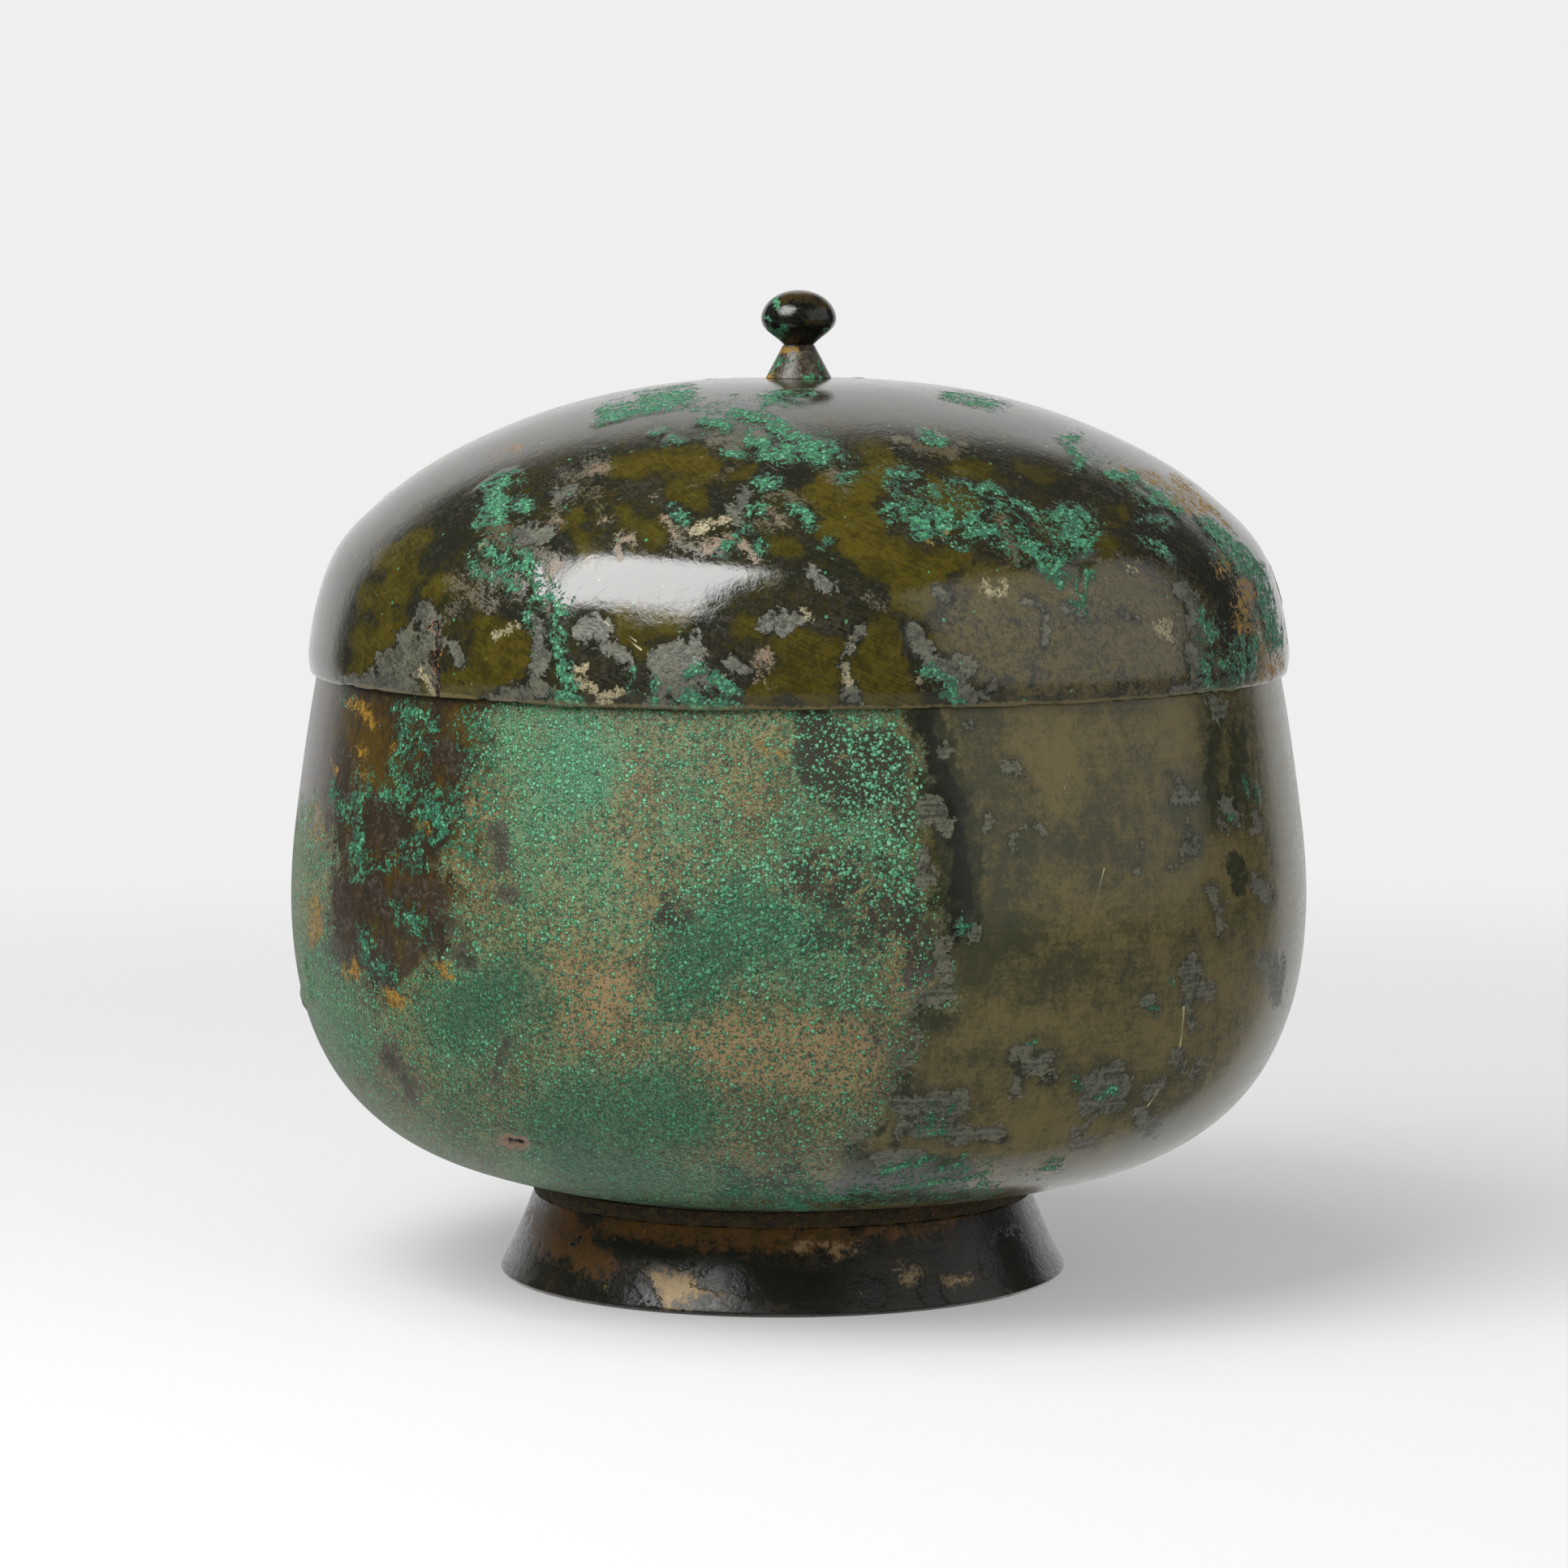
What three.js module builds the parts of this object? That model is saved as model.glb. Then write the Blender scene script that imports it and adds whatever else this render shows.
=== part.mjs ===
// Bronze lidded bowl on a flared foot, with a bead knob on the lid.
// Millimetres, +Z up. The origin is on the table, under the bowl's axis.
import * as THREE from 'three';

// Bowl, all radii taken on the outside of the wall
const bowlRadius = 80;
const bowlWall = 1.0;
const baseRadius = 29.2;
const baseHeight = 15.4;
const bellyRise = 44.7;
const mouthRise = 43.9;
const mouthInset = 5.95;
const mouthTaper = 2.0;
const baseSweep = 37.5;
const bellySweepBelow = 28.3;
const bellySweepAbove = 12.4;
const mouthSweep = 10.6;

// Lid, whose edge drops over the outside of the bowl's mouth
const lidWall = 0.75;
const lidFit = 0.3;
const seatDrop = 8.5;
const skirtSpread = 0.3;
const skirtRise = 2.0;
const shoulderRise = 18.5;
const shoulderInset = 5.4;
const shoulderSlope = THREE.MathUtils.degToRad(50.6);
const crownRise = 25.1;
const skirtSweep = 4.8;
const shoulderSweepBelow = 5.2;
const shoulderSweepAbove = 16.7;
const crownSweep = 30.8;

// Foot, a separate ring set a little off the bowl's axis
const footRadius = 44.8;
const footTopRadius = 39.4;
const footWall = 2.0;
const footEdge = 0.7;
const footFlare = 0.5;
const footOffset = -2.55;
const joinGap = 0.3;

// Solder seam in a rebate round the top of the foot
const solderHeight = 2.4;
const solderDepth = 0.9;
const solderBulge = 0.25;

// Knob: a cone collar, and a bead whose tang is peened over a washer inside the lid
const collarRadius = 5.2;
const collarHeight = 5.3;
const neckRadius = 2.4;
const beadRadius = 5.9;
const beadRise = 3.9;
const beadCrown = 4.6;
const beadNeckSweep = 2.2;
const beadBellySweep = 1.6;
const beadNeckSlope = THREE.MathUtils.degToRad(46);
const tangRadius = 1.4;
const tangFit = 0.3;
const landMargin = 1.2;
const washerRadius = 5.5;
const washerThickness = 0.8;
const peenRadius = 2.6;
const peenHeight = 1.0;
const peenChamfer = 0.4;

// Facets round the axis, and steps along the curves
const vesselFacets = 60;
const knobFacets = 28;
const longSteps = 11;
const shortSteps = 5;
const edgeSteps = 3;

const point = (radius, height) => new THREE.Vector2(radius, height);

// Evenly spaced points of a cubic curve, without its first point
function sweep(from, leave, arrive, to, steps) {
  const curve = new THREE.CubicBezierCurve(from, leave, arrive, to);
  return curve.getSpacedPoints(steps).slice(1);
}

// Points of a half circle on the right of the way from one point to another, without both ends
function halfRound(from, to, steps) {
  const middle = from.clone().add(to).multiplyScalar(0.5);
  const reach = from.clone().sub(middle);
  const points = [];
  for (let step = 1; step < steps; step += 1) {
    points.push(reach.clone().rotateAround(point(0, 0), (Math.PI * step) / steps).add(middle));
  }
  return points;
}

// The profile moved to its left by a wall's thickness
function offsetLeft(profile, wall) {
  return profile.map((here, index) => {
    const before = profile[Math.max(index - 1, 0)];
    const after = profile[Math.min(index + 1, profile.length - 1)];
    const into = here.clone().sub(before).normalize();
    const out = after.clone().sub(here).normalize();
    const along = into.clone().add(out).normalize();
    const stretch = index > 0 && index < profile.length - 1 ? along.dot(into) : 1;
    return point(here.x - (along.y * wall) / stretch, here.y + (along.x * wall) / stretch);
  });
}

// Radius of the profile's highest stretch that passes a height
function radiusAt(profile, height) {
  for (let index = profile.length - 1; index > 0; index -= 1) {
    const low = profile[index - 1];
    const high = profile[index];
    if (low.y <= height && height <= high.y) {
      return THREE.MathUtils.mapLinear(height, low.y, high.y, low.x, high.x);
    }
  }
  throw new Error(`the profile doesn't reach the height ${height}`);
}

// Height of the profile's lowest stretch that passes a radius
function heightAt(profile, radius) {
  for (let index = 1; index < profile.length; index += 1) {
    const inner = profile[index - 1];
    const outer = profile[index];
    if (inner.x <= radius && radius <= outer.x) {
      return THREE.MathUtils.mapLinear(radius, inner.x, outer.x, inner.y, outer.y);
    }
  }
  throw new Error(`the profile doesn't reach the radius ${radius}`);
}

// A solid of revolution about +Z
function turned(name, profile, facets, colour, roughness, metalness) {
  const geometry = new THREE.LatheGeometry(profile, facets).rotateX(Math.PI / 2);
  const material = new THREE.MeshStandardMaterial({ color: colour, roughness, metalness });
  const mesh = new THREE.Mesh(geometry, material);
  mesh.name = name;
  return mesh;
}

const ringOf = (profile) => [...profile, profile[0].clone()];

// Outside of the bowl, from the middle of its underside to its mouth
const bellyHeight = baseHeight + bellyRise;
const mouthHeight = bellyHeight + mouthRise;
const mouthRadius = bowlRadius - mouthInset;
const bowlOutside = [
  point(0, baseHeight),
  point(baseRadius, baseHeight),
  ...sweep(
    point(baseRadius, baseHeight),
    point(baseRadius + baseSweep, baseHeight),
    point(bowlRadius, bellyHeight - bellySweepBelow),
    point(bowlRadius, bellyHeight),
    longSteps,
  ),
  ...sweep(
    point(bowlRadius, bellyHeight),
    point(bowlRadius, bellyHeight + bellySweepAbove),
    point(mouthRadius + mouthTaper, mouthHeight - mouthSweep),
    point(mouthRadius, mouthHeight),
    shortSteps,
  ),
];
const bowlInside = offsetLeft(bowlOutside, bowlWall).reverse();

function makeBowl() {
  const rim = halfRound(bowlOutside.at(-1), bowlInside[0], edgeSteps);
  return turned('bowl_shell', [...bowlOutside, ...rim, ...bowlInside], vesselFacets, 0x5d6b52, 0.55, 0.6);
}

// Outside of the lid, from its lower edge to the hole for the tang
const edgeHeight = mouthHeight - seatDrop;
const edgeRadius = radiusAt(bowlOutside, edgeHeight) + lidFit + lidWall;
const lidRadius = edgeRadius + skirtSpread;
const skirtHeight = edgeHeight + skirtRise;
const shoulder = point(lidRadius - shoulderInset, skirtHeight + shoulderRise);
const upSlope = point(-Math.cos(shoulderSlope), Math.sin(shoulderSlope));
const crownHeight = shoulder.y + crownRise;
const landRadius = collarRadius + landMargin;
const holeRadius = tangRadius + tangFit;
const lidOutside = [
  point(edgeRadius, edgeHeight),
  point(lidRadius, skirtHeight),
  ...sweep(
    point(lidRadius, skirtHeight),
    point(lidRadius, skirtHeight + skirtSweep),
    shoulder.clone().addScaledVector(upSlope, -shoulderSweepBelow),
    shoulder,
    shortSteps,
  ),
  ...sweep(
    shoulder,
    shoulder.clone().addScaledVector(upSlope, shoulderSweepAbove),
    point(landRadius + crownSweep, crownHeight),
    point(landRadius, crownHeight),
    longSteps,
  ),
  point(holeRadius, crownHeight),
];
const lidInside = offsetLeft(lidOutside, lidWall).reverse();

function makeLid() {
  const edge = halfRound(lidInside.at(-1), lidOutside[0], edgeSteps);
  const profile = [...lidOutside, ...lidInside, ...edge];
  return turned('lid_shell', ringOf(profile), vesselFacets, 0x4f4519, 0.32, 0.8);
}

// The foot's top and the solder's top follow the bowl's underside at their innermost points
const footReach = footTopRadius - footWall - Math.abs(footOffset);
const footTop = heightAt(bowlOutside, footReach) - joinGap;
const ledgeHeight = footTop - solderHeight;
const ledgeRadius = footTopRadius - solderDepth;
const solderInner = ledgeRadius + joinGap;
const solderTop = heightAt(bowlOutside, solderInner - Math.abs(footOffset)) - joinGap;

function makeFoot() {
  const flareHeight = (footEdge + ledgeHeight) / 2;
  const flareRadius = (footRadius + footTopRadius) / 2 - footFlare;
  const outside = [
    point(footRadius, footEdge),
    ...new THREE.QuadraticBezierCurve(
      point(footRadius, footEdge),
      point(flareRadius, flareHeight),
      point(footTopRadius, ledgeHeight),
    ).getPoints(shortSteps).slice(1),
  ];
  const inside = offsetLeft(outside, footWall).reverse();
  const profile = [
    point(footRadius - footEdge, 0),
    ...outside,
    point(ledgeRadius, ledgeHeight),
    point(ledgeRadius, footTop),
    point(footTopRadius - footWall, footTop),
    ...inside.slice(0, -1),
    point(footRadius - footWall, 0),
  ];
  const foot = turned('foot_ring', ringOf(profile), vesselFacets, 0x37322a, 0.4, 0.8);
  foot.position.x = footOffset;
  return foot;
}

function makeSolder() {
  const profile = [
    point(solderInner, ledgeHeight),
    point(footTopRadius, ledgeHeight),
    point(footTopRadius + solderBulge, (ledgeHeight + solderTop) / 2),
    point(footTopRadius, solderTop),
    point(solderInner, solderTop),
  ];
  const solder = turned('foot_solder', ringOf(profile), vesselFacets, 0x452d16, 0.85, 0.2);
  solder.position.x = footOffset;
  return solder;
}

// The knob's pieces are stacked on the lid's flat land and under it
const collarTop = crownHeight + collarHeight;
const washerTop = crownHeight - lidWall;
const washerBottom = washerTop - washerThickness;
const peenBottom = washerBottom - peenHeight;

function makeCollar() {
  const profile = [
    point(holeRadius, crownHeight),
    point(collarRadius, crownHeight),
    point(neckRadius, collarTop),
    point(holeRadius, collarTop),
  ];
  return turned('knob_collar', ringOf(profile), knobFacets, 0x57543f, 0.45, 0.7);
}

function makeWasher() {
  const profile = [
    point(holeRadius, washerBottom),
    point(washerRadius, washerBottom),
    point(washerRadius, washerTop),
    point(holeRadius, washerTop),
  ];
  return turned('knob_washer', ringOf(profile), knobFacets, 0x5a4a24, 0.5, 0.8);
}

function makeBead() {
  const widest = point(beadRadius, collarTop + beadRise);
  const neck = point(neckRadius, collarTop);
  const neckLeave = point(
    neckRadius + beadNeckSweep * Math.cos(beadNeckSlope),
    collarTop + beadNeckSweep * Math.sin(beadNeckSlope),
  );
  const crown = new THREE.EllipseCurve(0, widest.y, beadRadius, beadCrown, 0, Math.PI / 2);
  const profile = [
    point(0, peenBottom),
    point(peenRadius - peenChamfer, peenBottom),
    point(peenRadius, peenBottom + peenChamfer),
    point(peenRadius, washerBottom),
    point(tangRadius, washerBottom),
    point(tangRadius, collarTop),
    neck,
    ...sweep(neck, neckLeave, point(beadRadius, widest.y - beadBellySweep), widest, shortSteps),
    ...crown.getPoints(longSteps).slice(1, -1),
    point(0, widest.y + beadCrown),
  ];
  return turned('knob_bead', profile, knobFacets, 0x1d1a14, 0.15, 0.5);
}

const bowl = new THREE.Group();
bowl.add(makeBowl(), makeFoot(), makeSolder());
const lid = new THREE.Group();
lid.add(makeLid(), makeCollar(), makeBead(), makeWasher());
const lidded = new THREE.Group();
lidded.add(bowl, lid);

export default lidded;
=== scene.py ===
import math

import bpy
import numpy as np
from bpy.props import FloatProperty, FloatVectorProperty, PointerProperty
from mathutils import Matrix, Vector, noise
from mathutils.bvhtree import BVHTree


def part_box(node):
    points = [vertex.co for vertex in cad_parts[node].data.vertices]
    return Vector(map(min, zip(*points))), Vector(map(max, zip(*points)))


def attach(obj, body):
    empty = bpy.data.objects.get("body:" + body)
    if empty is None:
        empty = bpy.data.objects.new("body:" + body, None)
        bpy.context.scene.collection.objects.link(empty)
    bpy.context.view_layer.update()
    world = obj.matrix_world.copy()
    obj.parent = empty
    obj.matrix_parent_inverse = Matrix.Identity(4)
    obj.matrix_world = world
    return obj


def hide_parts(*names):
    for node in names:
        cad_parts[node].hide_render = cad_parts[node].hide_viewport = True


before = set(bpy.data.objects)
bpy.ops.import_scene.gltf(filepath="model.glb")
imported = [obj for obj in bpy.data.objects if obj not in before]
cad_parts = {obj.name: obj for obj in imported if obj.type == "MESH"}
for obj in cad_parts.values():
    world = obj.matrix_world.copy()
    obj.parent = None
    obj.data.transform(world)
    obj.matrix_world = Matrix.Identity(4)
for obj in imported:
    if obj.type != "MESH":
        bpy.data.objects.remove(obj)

bl_info = {
    "name": "Bronze Lidded Bowl",
    "version": (1, 0, 0),
    "blender": (4, 5, 0),
    "location": "View3D > Sidebar > Lidded Bowl",
    "description": "Dresses a turned bronze bowl, its foot, lid and knob in an aged patina",
    "category": "Object",
}

MM = 0.001

# The photograph's camera, in metres, radians and pixels
PHOTO_SIDE = 1932
LENS = 136.04
SENSOR = 36.0
FOCAL_PIXELS = LENS / SENSOR * PHOTO_SIDE
EYE = Vector((-0.0023, -0.9314, 0.1663))
PITCH = math.radians(5.468)
LOOK = Vector((0, math.cos(PITCH), -math.sin(PITCH)))
LOOK_UP = Vector((0, math.sin(PITCH), math.cos(PITCH)))
# Size of a pixel on the pieces, in mm
PIXEL_MM = 0.1276

# The studio, in metres and radians
LAMP_TARGET = Vector((0, 0, 0.08))
FLOOR_REACH = 2.0
FLOOR_FADE = (0.2, 0.6)
# Share of the floor that the pieces do not mirror
FLOOR_UNMIRRORED = 0.8
PAPER_ROUGHNESS = 0.9
# How far aside and up the pieces mirror the pale backdrop, and how soft its sides are
BACKDROP_ASIDE = math.radians(42.5)
BACKDROP_SOFTNESS = 0.06
BACKDROP_TOP = (0.84, 0.64)
BACKDROP_TOP_SLOPE = 0.6

# How far from a section's plane its points in the CAD model may lie, in metres
COLUMN_TOLERANCE = 1e-5
# How a section is smoothed and laid out in rows, in mm and radians
CORNER_TURN = math.radians(24)
LINE_PITCH = 0.06
EDGE_ROUNDING = 0.12
ROWS_PER_RADIAN = 4.0

# Fields reach this many mm inside and outside a patch's edge
FIELD_LIMIT = 6.0
# Sizes, reaches and seeds of the noises that make drawn patches irregular, in mm
WANDER = ((9.0, 1.3, 1.0), (3.0, 0.8, 2.0))
WANDER_SEED = 5
# How far apart the noises of two seeds lie
WANDER_SHIFT = Vector((3.0, 29.0, 13.0))
CLOUD_SHIFT = Vector((17.0, 5.0, 11.0))
# A wash is even up to this share of its stroke's half width, and gone at the second one
WASH_CORE = 0.4
WASH_REACH = 1.6
# Angles from the front between which drawn fields give way to seeded ones
FRONT_ANGLE = math.radians(72)
BACK_ANGLE = math.radians(98)

# Places on the pieces that the wear refers to, in mm and radians
BOWL_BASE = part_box("bowl_shell")[0].z / MM
LID_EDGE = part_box("lid_shell")[0].z / MM
LID_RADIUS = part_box("lid_shell")[1].x / MM
COLLAR_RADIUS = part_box("knob_collar")[1].x / MM
SEAM_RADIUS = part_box("foot_solder")[1].y / MM
# Radius at which the lid's fine lines have their full length, and the most that a solder lump stands out
LINES_RADIUS = 70.0
LUMP_LIMIT = 0.25
# Angle of the crack in the lid, columns of points beside it and how far others keep from it
CRACK_ANGLE = math.radians(-44.6)
CRACK_COLUMNS = (-0.6, -0.3, -0.12, 0.0, 0.12, 0.3, 0.6)
CRACK_CLEAR = 0.75
# Half width of the crack in pixels, and angles beside it between which columns stop following it
CRACK_HALF_WIDTH = 2
CRACK_FOLLOW = (0.02, 0.1)
# The rusty side of the bowl starts at this angle, and gains 1 mm of depth for each step, in degrees
RUSTY_FROM = -10
RUSTY_STEP = 5

# Noises of the finishes stay between minus and plus half of this
NOISE_SPREAD = 9.0
# Radii of the smallest and largest grains in cell widths, and the value where a grain is left out
GRAIN_SMALLEST = 0.25
GRAIN_LARGEST = 0.60
GRAIN_ABSENT = -3.0
# A scratch is even up to this share of its half width, and gone at the second one
MARK_CORE = 0.5
MARK_REACH = 1.3

# Strokes of the lid's finishes: half width, then pixels of the photograph; a wash has its strength first
LID_CRUST = (
    (13, (608, 602), (624, 592)), (15, (618, 622), (606, 640)), (6, (640, 630), (652, 622)),
    (5, (588, 654), (600, 642)), (5, (640, 586), (646, 594)), (8, (600, 682), (626, 692)),
    (8, (648, 684), (656, 700)), (6, (600, 706), (642, 702)), (8, (656, 714), (666, 732)),
    (5, (580, 690), (590, 702)), (6, (622, 720), (642, 722)), (9, (660, 738), (682, 740)),
    (5, (656, 752), (660, 766)), (7, (690, 742), (690, 776)), (8, (688, 784), (694, 820)),
    (12, (700, 822), (706, 850)), (12, (684, 868), (712, 872)), (5, (776, 822), (781, 842)),
    (5, (808, 838), (812, 866)), (6, (854, 832), (866, 822)), (11, (850, 864), (872, 870)),
    (11, (884, 836), (902, 846)), (7, (872, 852), (890, 866)), (6, (820, 870), (906, 872)),
    (9, (744, 510), (790, 502), (846, 490)), (7, (796, 492), (850, 482)), (5, (732, 522), (748, 516)),
    (8, (864, 518), (902, 522)), (10, (900, 504), (952, 514)), (8, (928, 538), (948, 546)),
    (10, (944, 562), (986, 552)), (10, (960, 528), (992, 546)), (5, (894, 554), (916, 554)),
    (12, (984, 552), (1016, 560)), (5, (1020, 556), (1040, 566)), (4, (800, 532), (816, 530)),
    (4, (824, 541), (842, 540)), (6, (932, 596), (962, 592)), (7, (930, 632), (946, 630)),
    (8, (984, 626), (1000, 640)), (6, (900, 672), (922, 654)), (7, (888, 682), (906, 670)),
    (5, (930, 682), (936, 674)), (5, (828, 630), (848, 646)), (6, (1022, 665), (1029, 665)),
    (6, (1088, 586), (1108, 586)), (4, (1119, 590), (1125, 592)), (4, (1034, 590), (1056, 584)),
    (7, (1092, 620), (1116, 618)), (5, (1100, 636), (1116, 633)), (14, (1134, 640), (1162, 632)),
    (9, (1128, 655), (1152, 656)), (7, (1164, 646), (1186, 640), (1206, 632)),
    (9, (1190, 655), (1226, 653)), (6, (1140, 604), (1153, 613)),
    (4, (1180, 592), (1210, 602), (1236, 611)), (5, (1236, 612), (1252, 624), (1280, 646)),
    (8, (1258, 660), (1282, 682)), (10, (1290, 690), (1311, 702)), (8, (1304, 714), (1313, 722)),
    (12, (1308, 630), (1332, 640)), (14, (1314, 660), (1336, 656)), (9, (1330, 676), (1346, 664)),
    (6, (1341, 704), (1334, 736)), (6, (1325, 742), (1336, 766)), (4, (1174, 674), (1190, 681)),
    (6, (1311, 541), (1321, 538)), (5, (1318, 554), (1327, 570)), (5, (1160, 488), (1244, 497)),
    (8, (1148, 827), (1166, 836)), (8, (1170, 838), (1172, 850)), (9, (1172, 857), (1181, 863)),
    (5, (1140, 530), (1164, 540)), (4, (940, 494), (1000, 486)), (6, (1360, 578), (1402, 594)),
    (6, (1414, 606), (1434, 620)), (6, (1440, 622), (1454, 633)), (5, (1476, 643), (1486, 649)),
    (3, (1410, 634), (1440, 642)), (3, (1410, 666), (1426, 668), (1440, 692)),
    (7, (1486, 654), (1512, 672)), (14, (1522, 682), (1542, 700)), (13, (1552, 704), (1562, 740)),
    (9, (1566, 748), (1574, 786)), (8, (1484, 760), (1502, 784)), (8, (1490, 806), (1496, 842)),
    (6, (1526, 786), (1528, 828)), (7, (1548, 792), (1546, 824)), (5, (1512, 812), (1516, 842)),
)
LID_LACY = (
    (0.2, 50, (1150, 620), (1330, 660)), (0.9, 34, (610, 610), (620, 640)),
    (0.9, 30, (600, 690), (660, 710)), (0.8, 24, (680, 740), (700, 860)),
    (1.2, 16, (742, 510), (790, 500), (846, 488)), (1.0, 28, (870, 515), (1010, 550)),
    (0.8, 30, (1096, 622), (1220, 648)), (1.0, 36, (1264, 668), (1330, 650)),
    (0.7, 26, (1310, 710), (1334, 760)), (0.9, 30, (1490, 770), (1520, 840)),
    (1.1, 22, (1490, 655), (1550, 710), (1568, 790)), (0.9, 18, (1316, 545), (1380, 585), (1440, 622)),
    (0.8, 30, (850, 850), (900, 840)), (0.7, 24, (932, 600), (990, 640)), (0.7, 24, (890, 680), (930, 656)),
    (0.7, 20, (1180, 596), (1280, 640)), (0.8, 18, (1150, 826), (1178, 860)),
    (0.7, 20, (1040, 570), (1130, 590)), (0.6, 14, (730, 580), (690, 640)),
    (0.7, 10, (1160, 488), (1250, 498)), (0.6, 14, (820, 870), (700, 866)),
)
LID_OLIVE = (
    (18, (1090, 566), (1034, 634)), (22, (1012, 604), (1060, 660)), (26, (992, 800), (1110, 846)),
    (16, (1150, 700), (1184, 692)), (24, (466, 744), (500, 704)), (22, (448, 796), (484, 772)),
    (14, (436, 826), (452, 806)), (12, (470, 690), (520, 664)), (14, (524, 736), (552, 720)),
    (30, (608, 782), (638, 786)), (30, (612, 812), (640, 802)), (16, (614, 838), (632, 832)),
    (18, (522, 852), (592, 850)), (14, (564, 836), (590, 830)), (18, (764, 768), (842, 766)),
    (10, (762, 790), (788, 802)), (18, (760, 578), (820, 570)), (24, (830, 572), (862, 576)),
    (7, (904, 589), (930, 576)), (10, (764, 624), (776, 646)), (12, (792, 652), (812, 662)),
    (11, (714, 662), (730, 692)), (10, (692, 642), (712, 632)), (14, (832, 612), (872, 614)),
    (9, (946, 672), (990, 672)), (18, (930, 856), (964, 842)), (22, (970, 786), (988, 834)),
    (12, (918, 764), (938, 772)), (26, (1032, 646), (1072, 638)), (30, (1058, 668), (1100, 690)),
    (24, (1098, 700), (1142, 706)), (20, (1110, 718), (1112, 742)), (12, (1072, 552), (1102, 570)),
    (17, (1150, 606), (1196, 620)), (10, (1178, 574), (1212, 582)), (13, (1258, 578), (1288, 588)),
    (30, (1092, 796), (1102, 856)), (18, (1122, 758), (1142, 730)), (24, (1072, 786), (1074, 856)),
    (20, (998, 796), (1014, 856)), (14, (980, 852), (1002, 864)), (12, (1158, 788), (1188, 796)),
    (10, (1384, 632), (1398, 642)), (12, (1362, 664), (1374, 674)), (30, (1210, 730), (1300, 740)),
    (34, (1240, 800), (1330, 810)), (30, (1360, 720), (1420, 760)), (30, (1380, 800), (1430, 820)),
)
LID_BLACK = (
    (9, (500, 690), (514, 760)), (9, (452, 776), (466, 716)), (10, (430, 810), (424, 770)),
    (9, (468, 708), (486, 758)), (7, (440, 740), (436, 800)), (12, (606, 748), (646, 752)),
    (9, (652, 818), (638, 846)), (8, (578, 764), (583, 798)), (12, (724, 805), (736, 806)),
    (15, (744, 832), (760, 832)), (12, (789, 834), (799, 838)), (14, (864, 803), (908, 804)),
    (12, (868, 770), (892, 768)), (14, (998, 774), (1032, 780)), (16, (1114, 764), (1128, 792)),
    (6, (1042, 806), (1040, 818)), (16, (1220, 566), (1310, 602)), (34, (1420, 648), (1480, 690)),
    (24, (1480, 700), (1512, 724)), (18, (1508, 744), (1512, 764)), (10, (740, 594), (792, 599)),
    (14, (690, 580), (730, 560)), (12, (940, 575), (990, 585)), (14, (880, 610), (890, 640)),
    (20, (548, 640), (590, 610)), (14, (540, 690), (560, 660)), (16, (690, 668), (700, 690)),
    (12, (820, 625), (850, 640)), (16, (1330, 600), (1380, 612)), (18, (1260, 816), (1290, 830)),
    (16, (1330, 770), (1350, 800)), (14, (1190, 730), (1170, 760)), (12, (1450, 760), (1446, 800)),
    (8, (1250, 774), (1256, 780)), (12, (1110, 560), (1150, 566)), (10, (1240, 612), (1270, 660)),
)
LID_GREY = (
    (14, (502, 782), (532, 792)), (20, (478, 818), (508, 812)), (16, (452, 842), (494, 850)),
    (9, (514, 752), (532, 766)), (7, (428, 840), (446, 836)), (9, (524, 828), (530, 848)),
    (7, (556, 800), (566, 820)), (11, (654, 838), (666, 802), (670, 768)), (13, (622, 860), (662, 852)),
    (8, (602, 864), (624, 866)), (12, (718, 776), (746, 782)), (8, (744, 796), (768, 808)),
    (20, (814, 816), (852, 810)), (18, (828, 842), (850, 852)), (12, (866, 830), (880, 838)),
    (9, (806, 862), (830, 866)), (9, (904, 814), (922, 822)), (5, (854, 779), (863, 787)),
    (9, (944, 766), (962, 760)), (10, (968, 770), (986, 765)), (10, (1130, 780), (1146, 802)),
    (9, (1150, 810), (1166, 832)), (14, (1174, 832), (1196, 852)), (9, (1184, 810), (1194, 822)),
    (8, (1200, 852), (1216, 846)), (7, (1042, 796), (1050, 780), (1056, 768)),
    (5, (1037, 824), (1042, 846)), (7, (1045, 854), (1056, 868)),
    (4, (1269, 737), (1285, 745), (1292, 772), (1290, 796)), (5, (1314, 750), (1330, 757)),
    (5, (1382, 757), (1396, 769)), (7, (1450, 724), (1466, 740), (1470, 778)),
    (12, (1470, 800), (1476, 836)), (9, (1444, 851), (1500, 851)), (11, (918, 610), (906, 640)),
    (10, (640, 662), (672, 654)), (10, (690, 610), (700, 606)), (8, (1000, 700), (1020, 716)),
    (7, (1154, 724), (1172, 738)),
)
LID_HAZE = (
    (8, (680, 642), (700, 615), (736, 605)), (7, (735, 610), (746, 636)), (17, (560, 722), (600, 742)),
    (15, (590, 702), (640, 722)), (9, (548, 770), (566, 750)), (6, (858, 596), (902, 577)),
    (12, (952, 606), (990, 616)), (12, (930, 650), (970, 640)), (14, (1040, 600), (1020, 580)),
    (12, (1110, 540), (1180, 552)), (16, (700, 590), (740, 574)), (18, (610, 660), (680, 690)),
    (14, (1230, 640), (1250, 690)), (10, (1060, 730), (1085, 745)), (9, (1350, 690), (1410, 690)),
    (14, (880, 540), (940, 536)), (12, (840, 660), (866, 680)),
)
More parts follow.
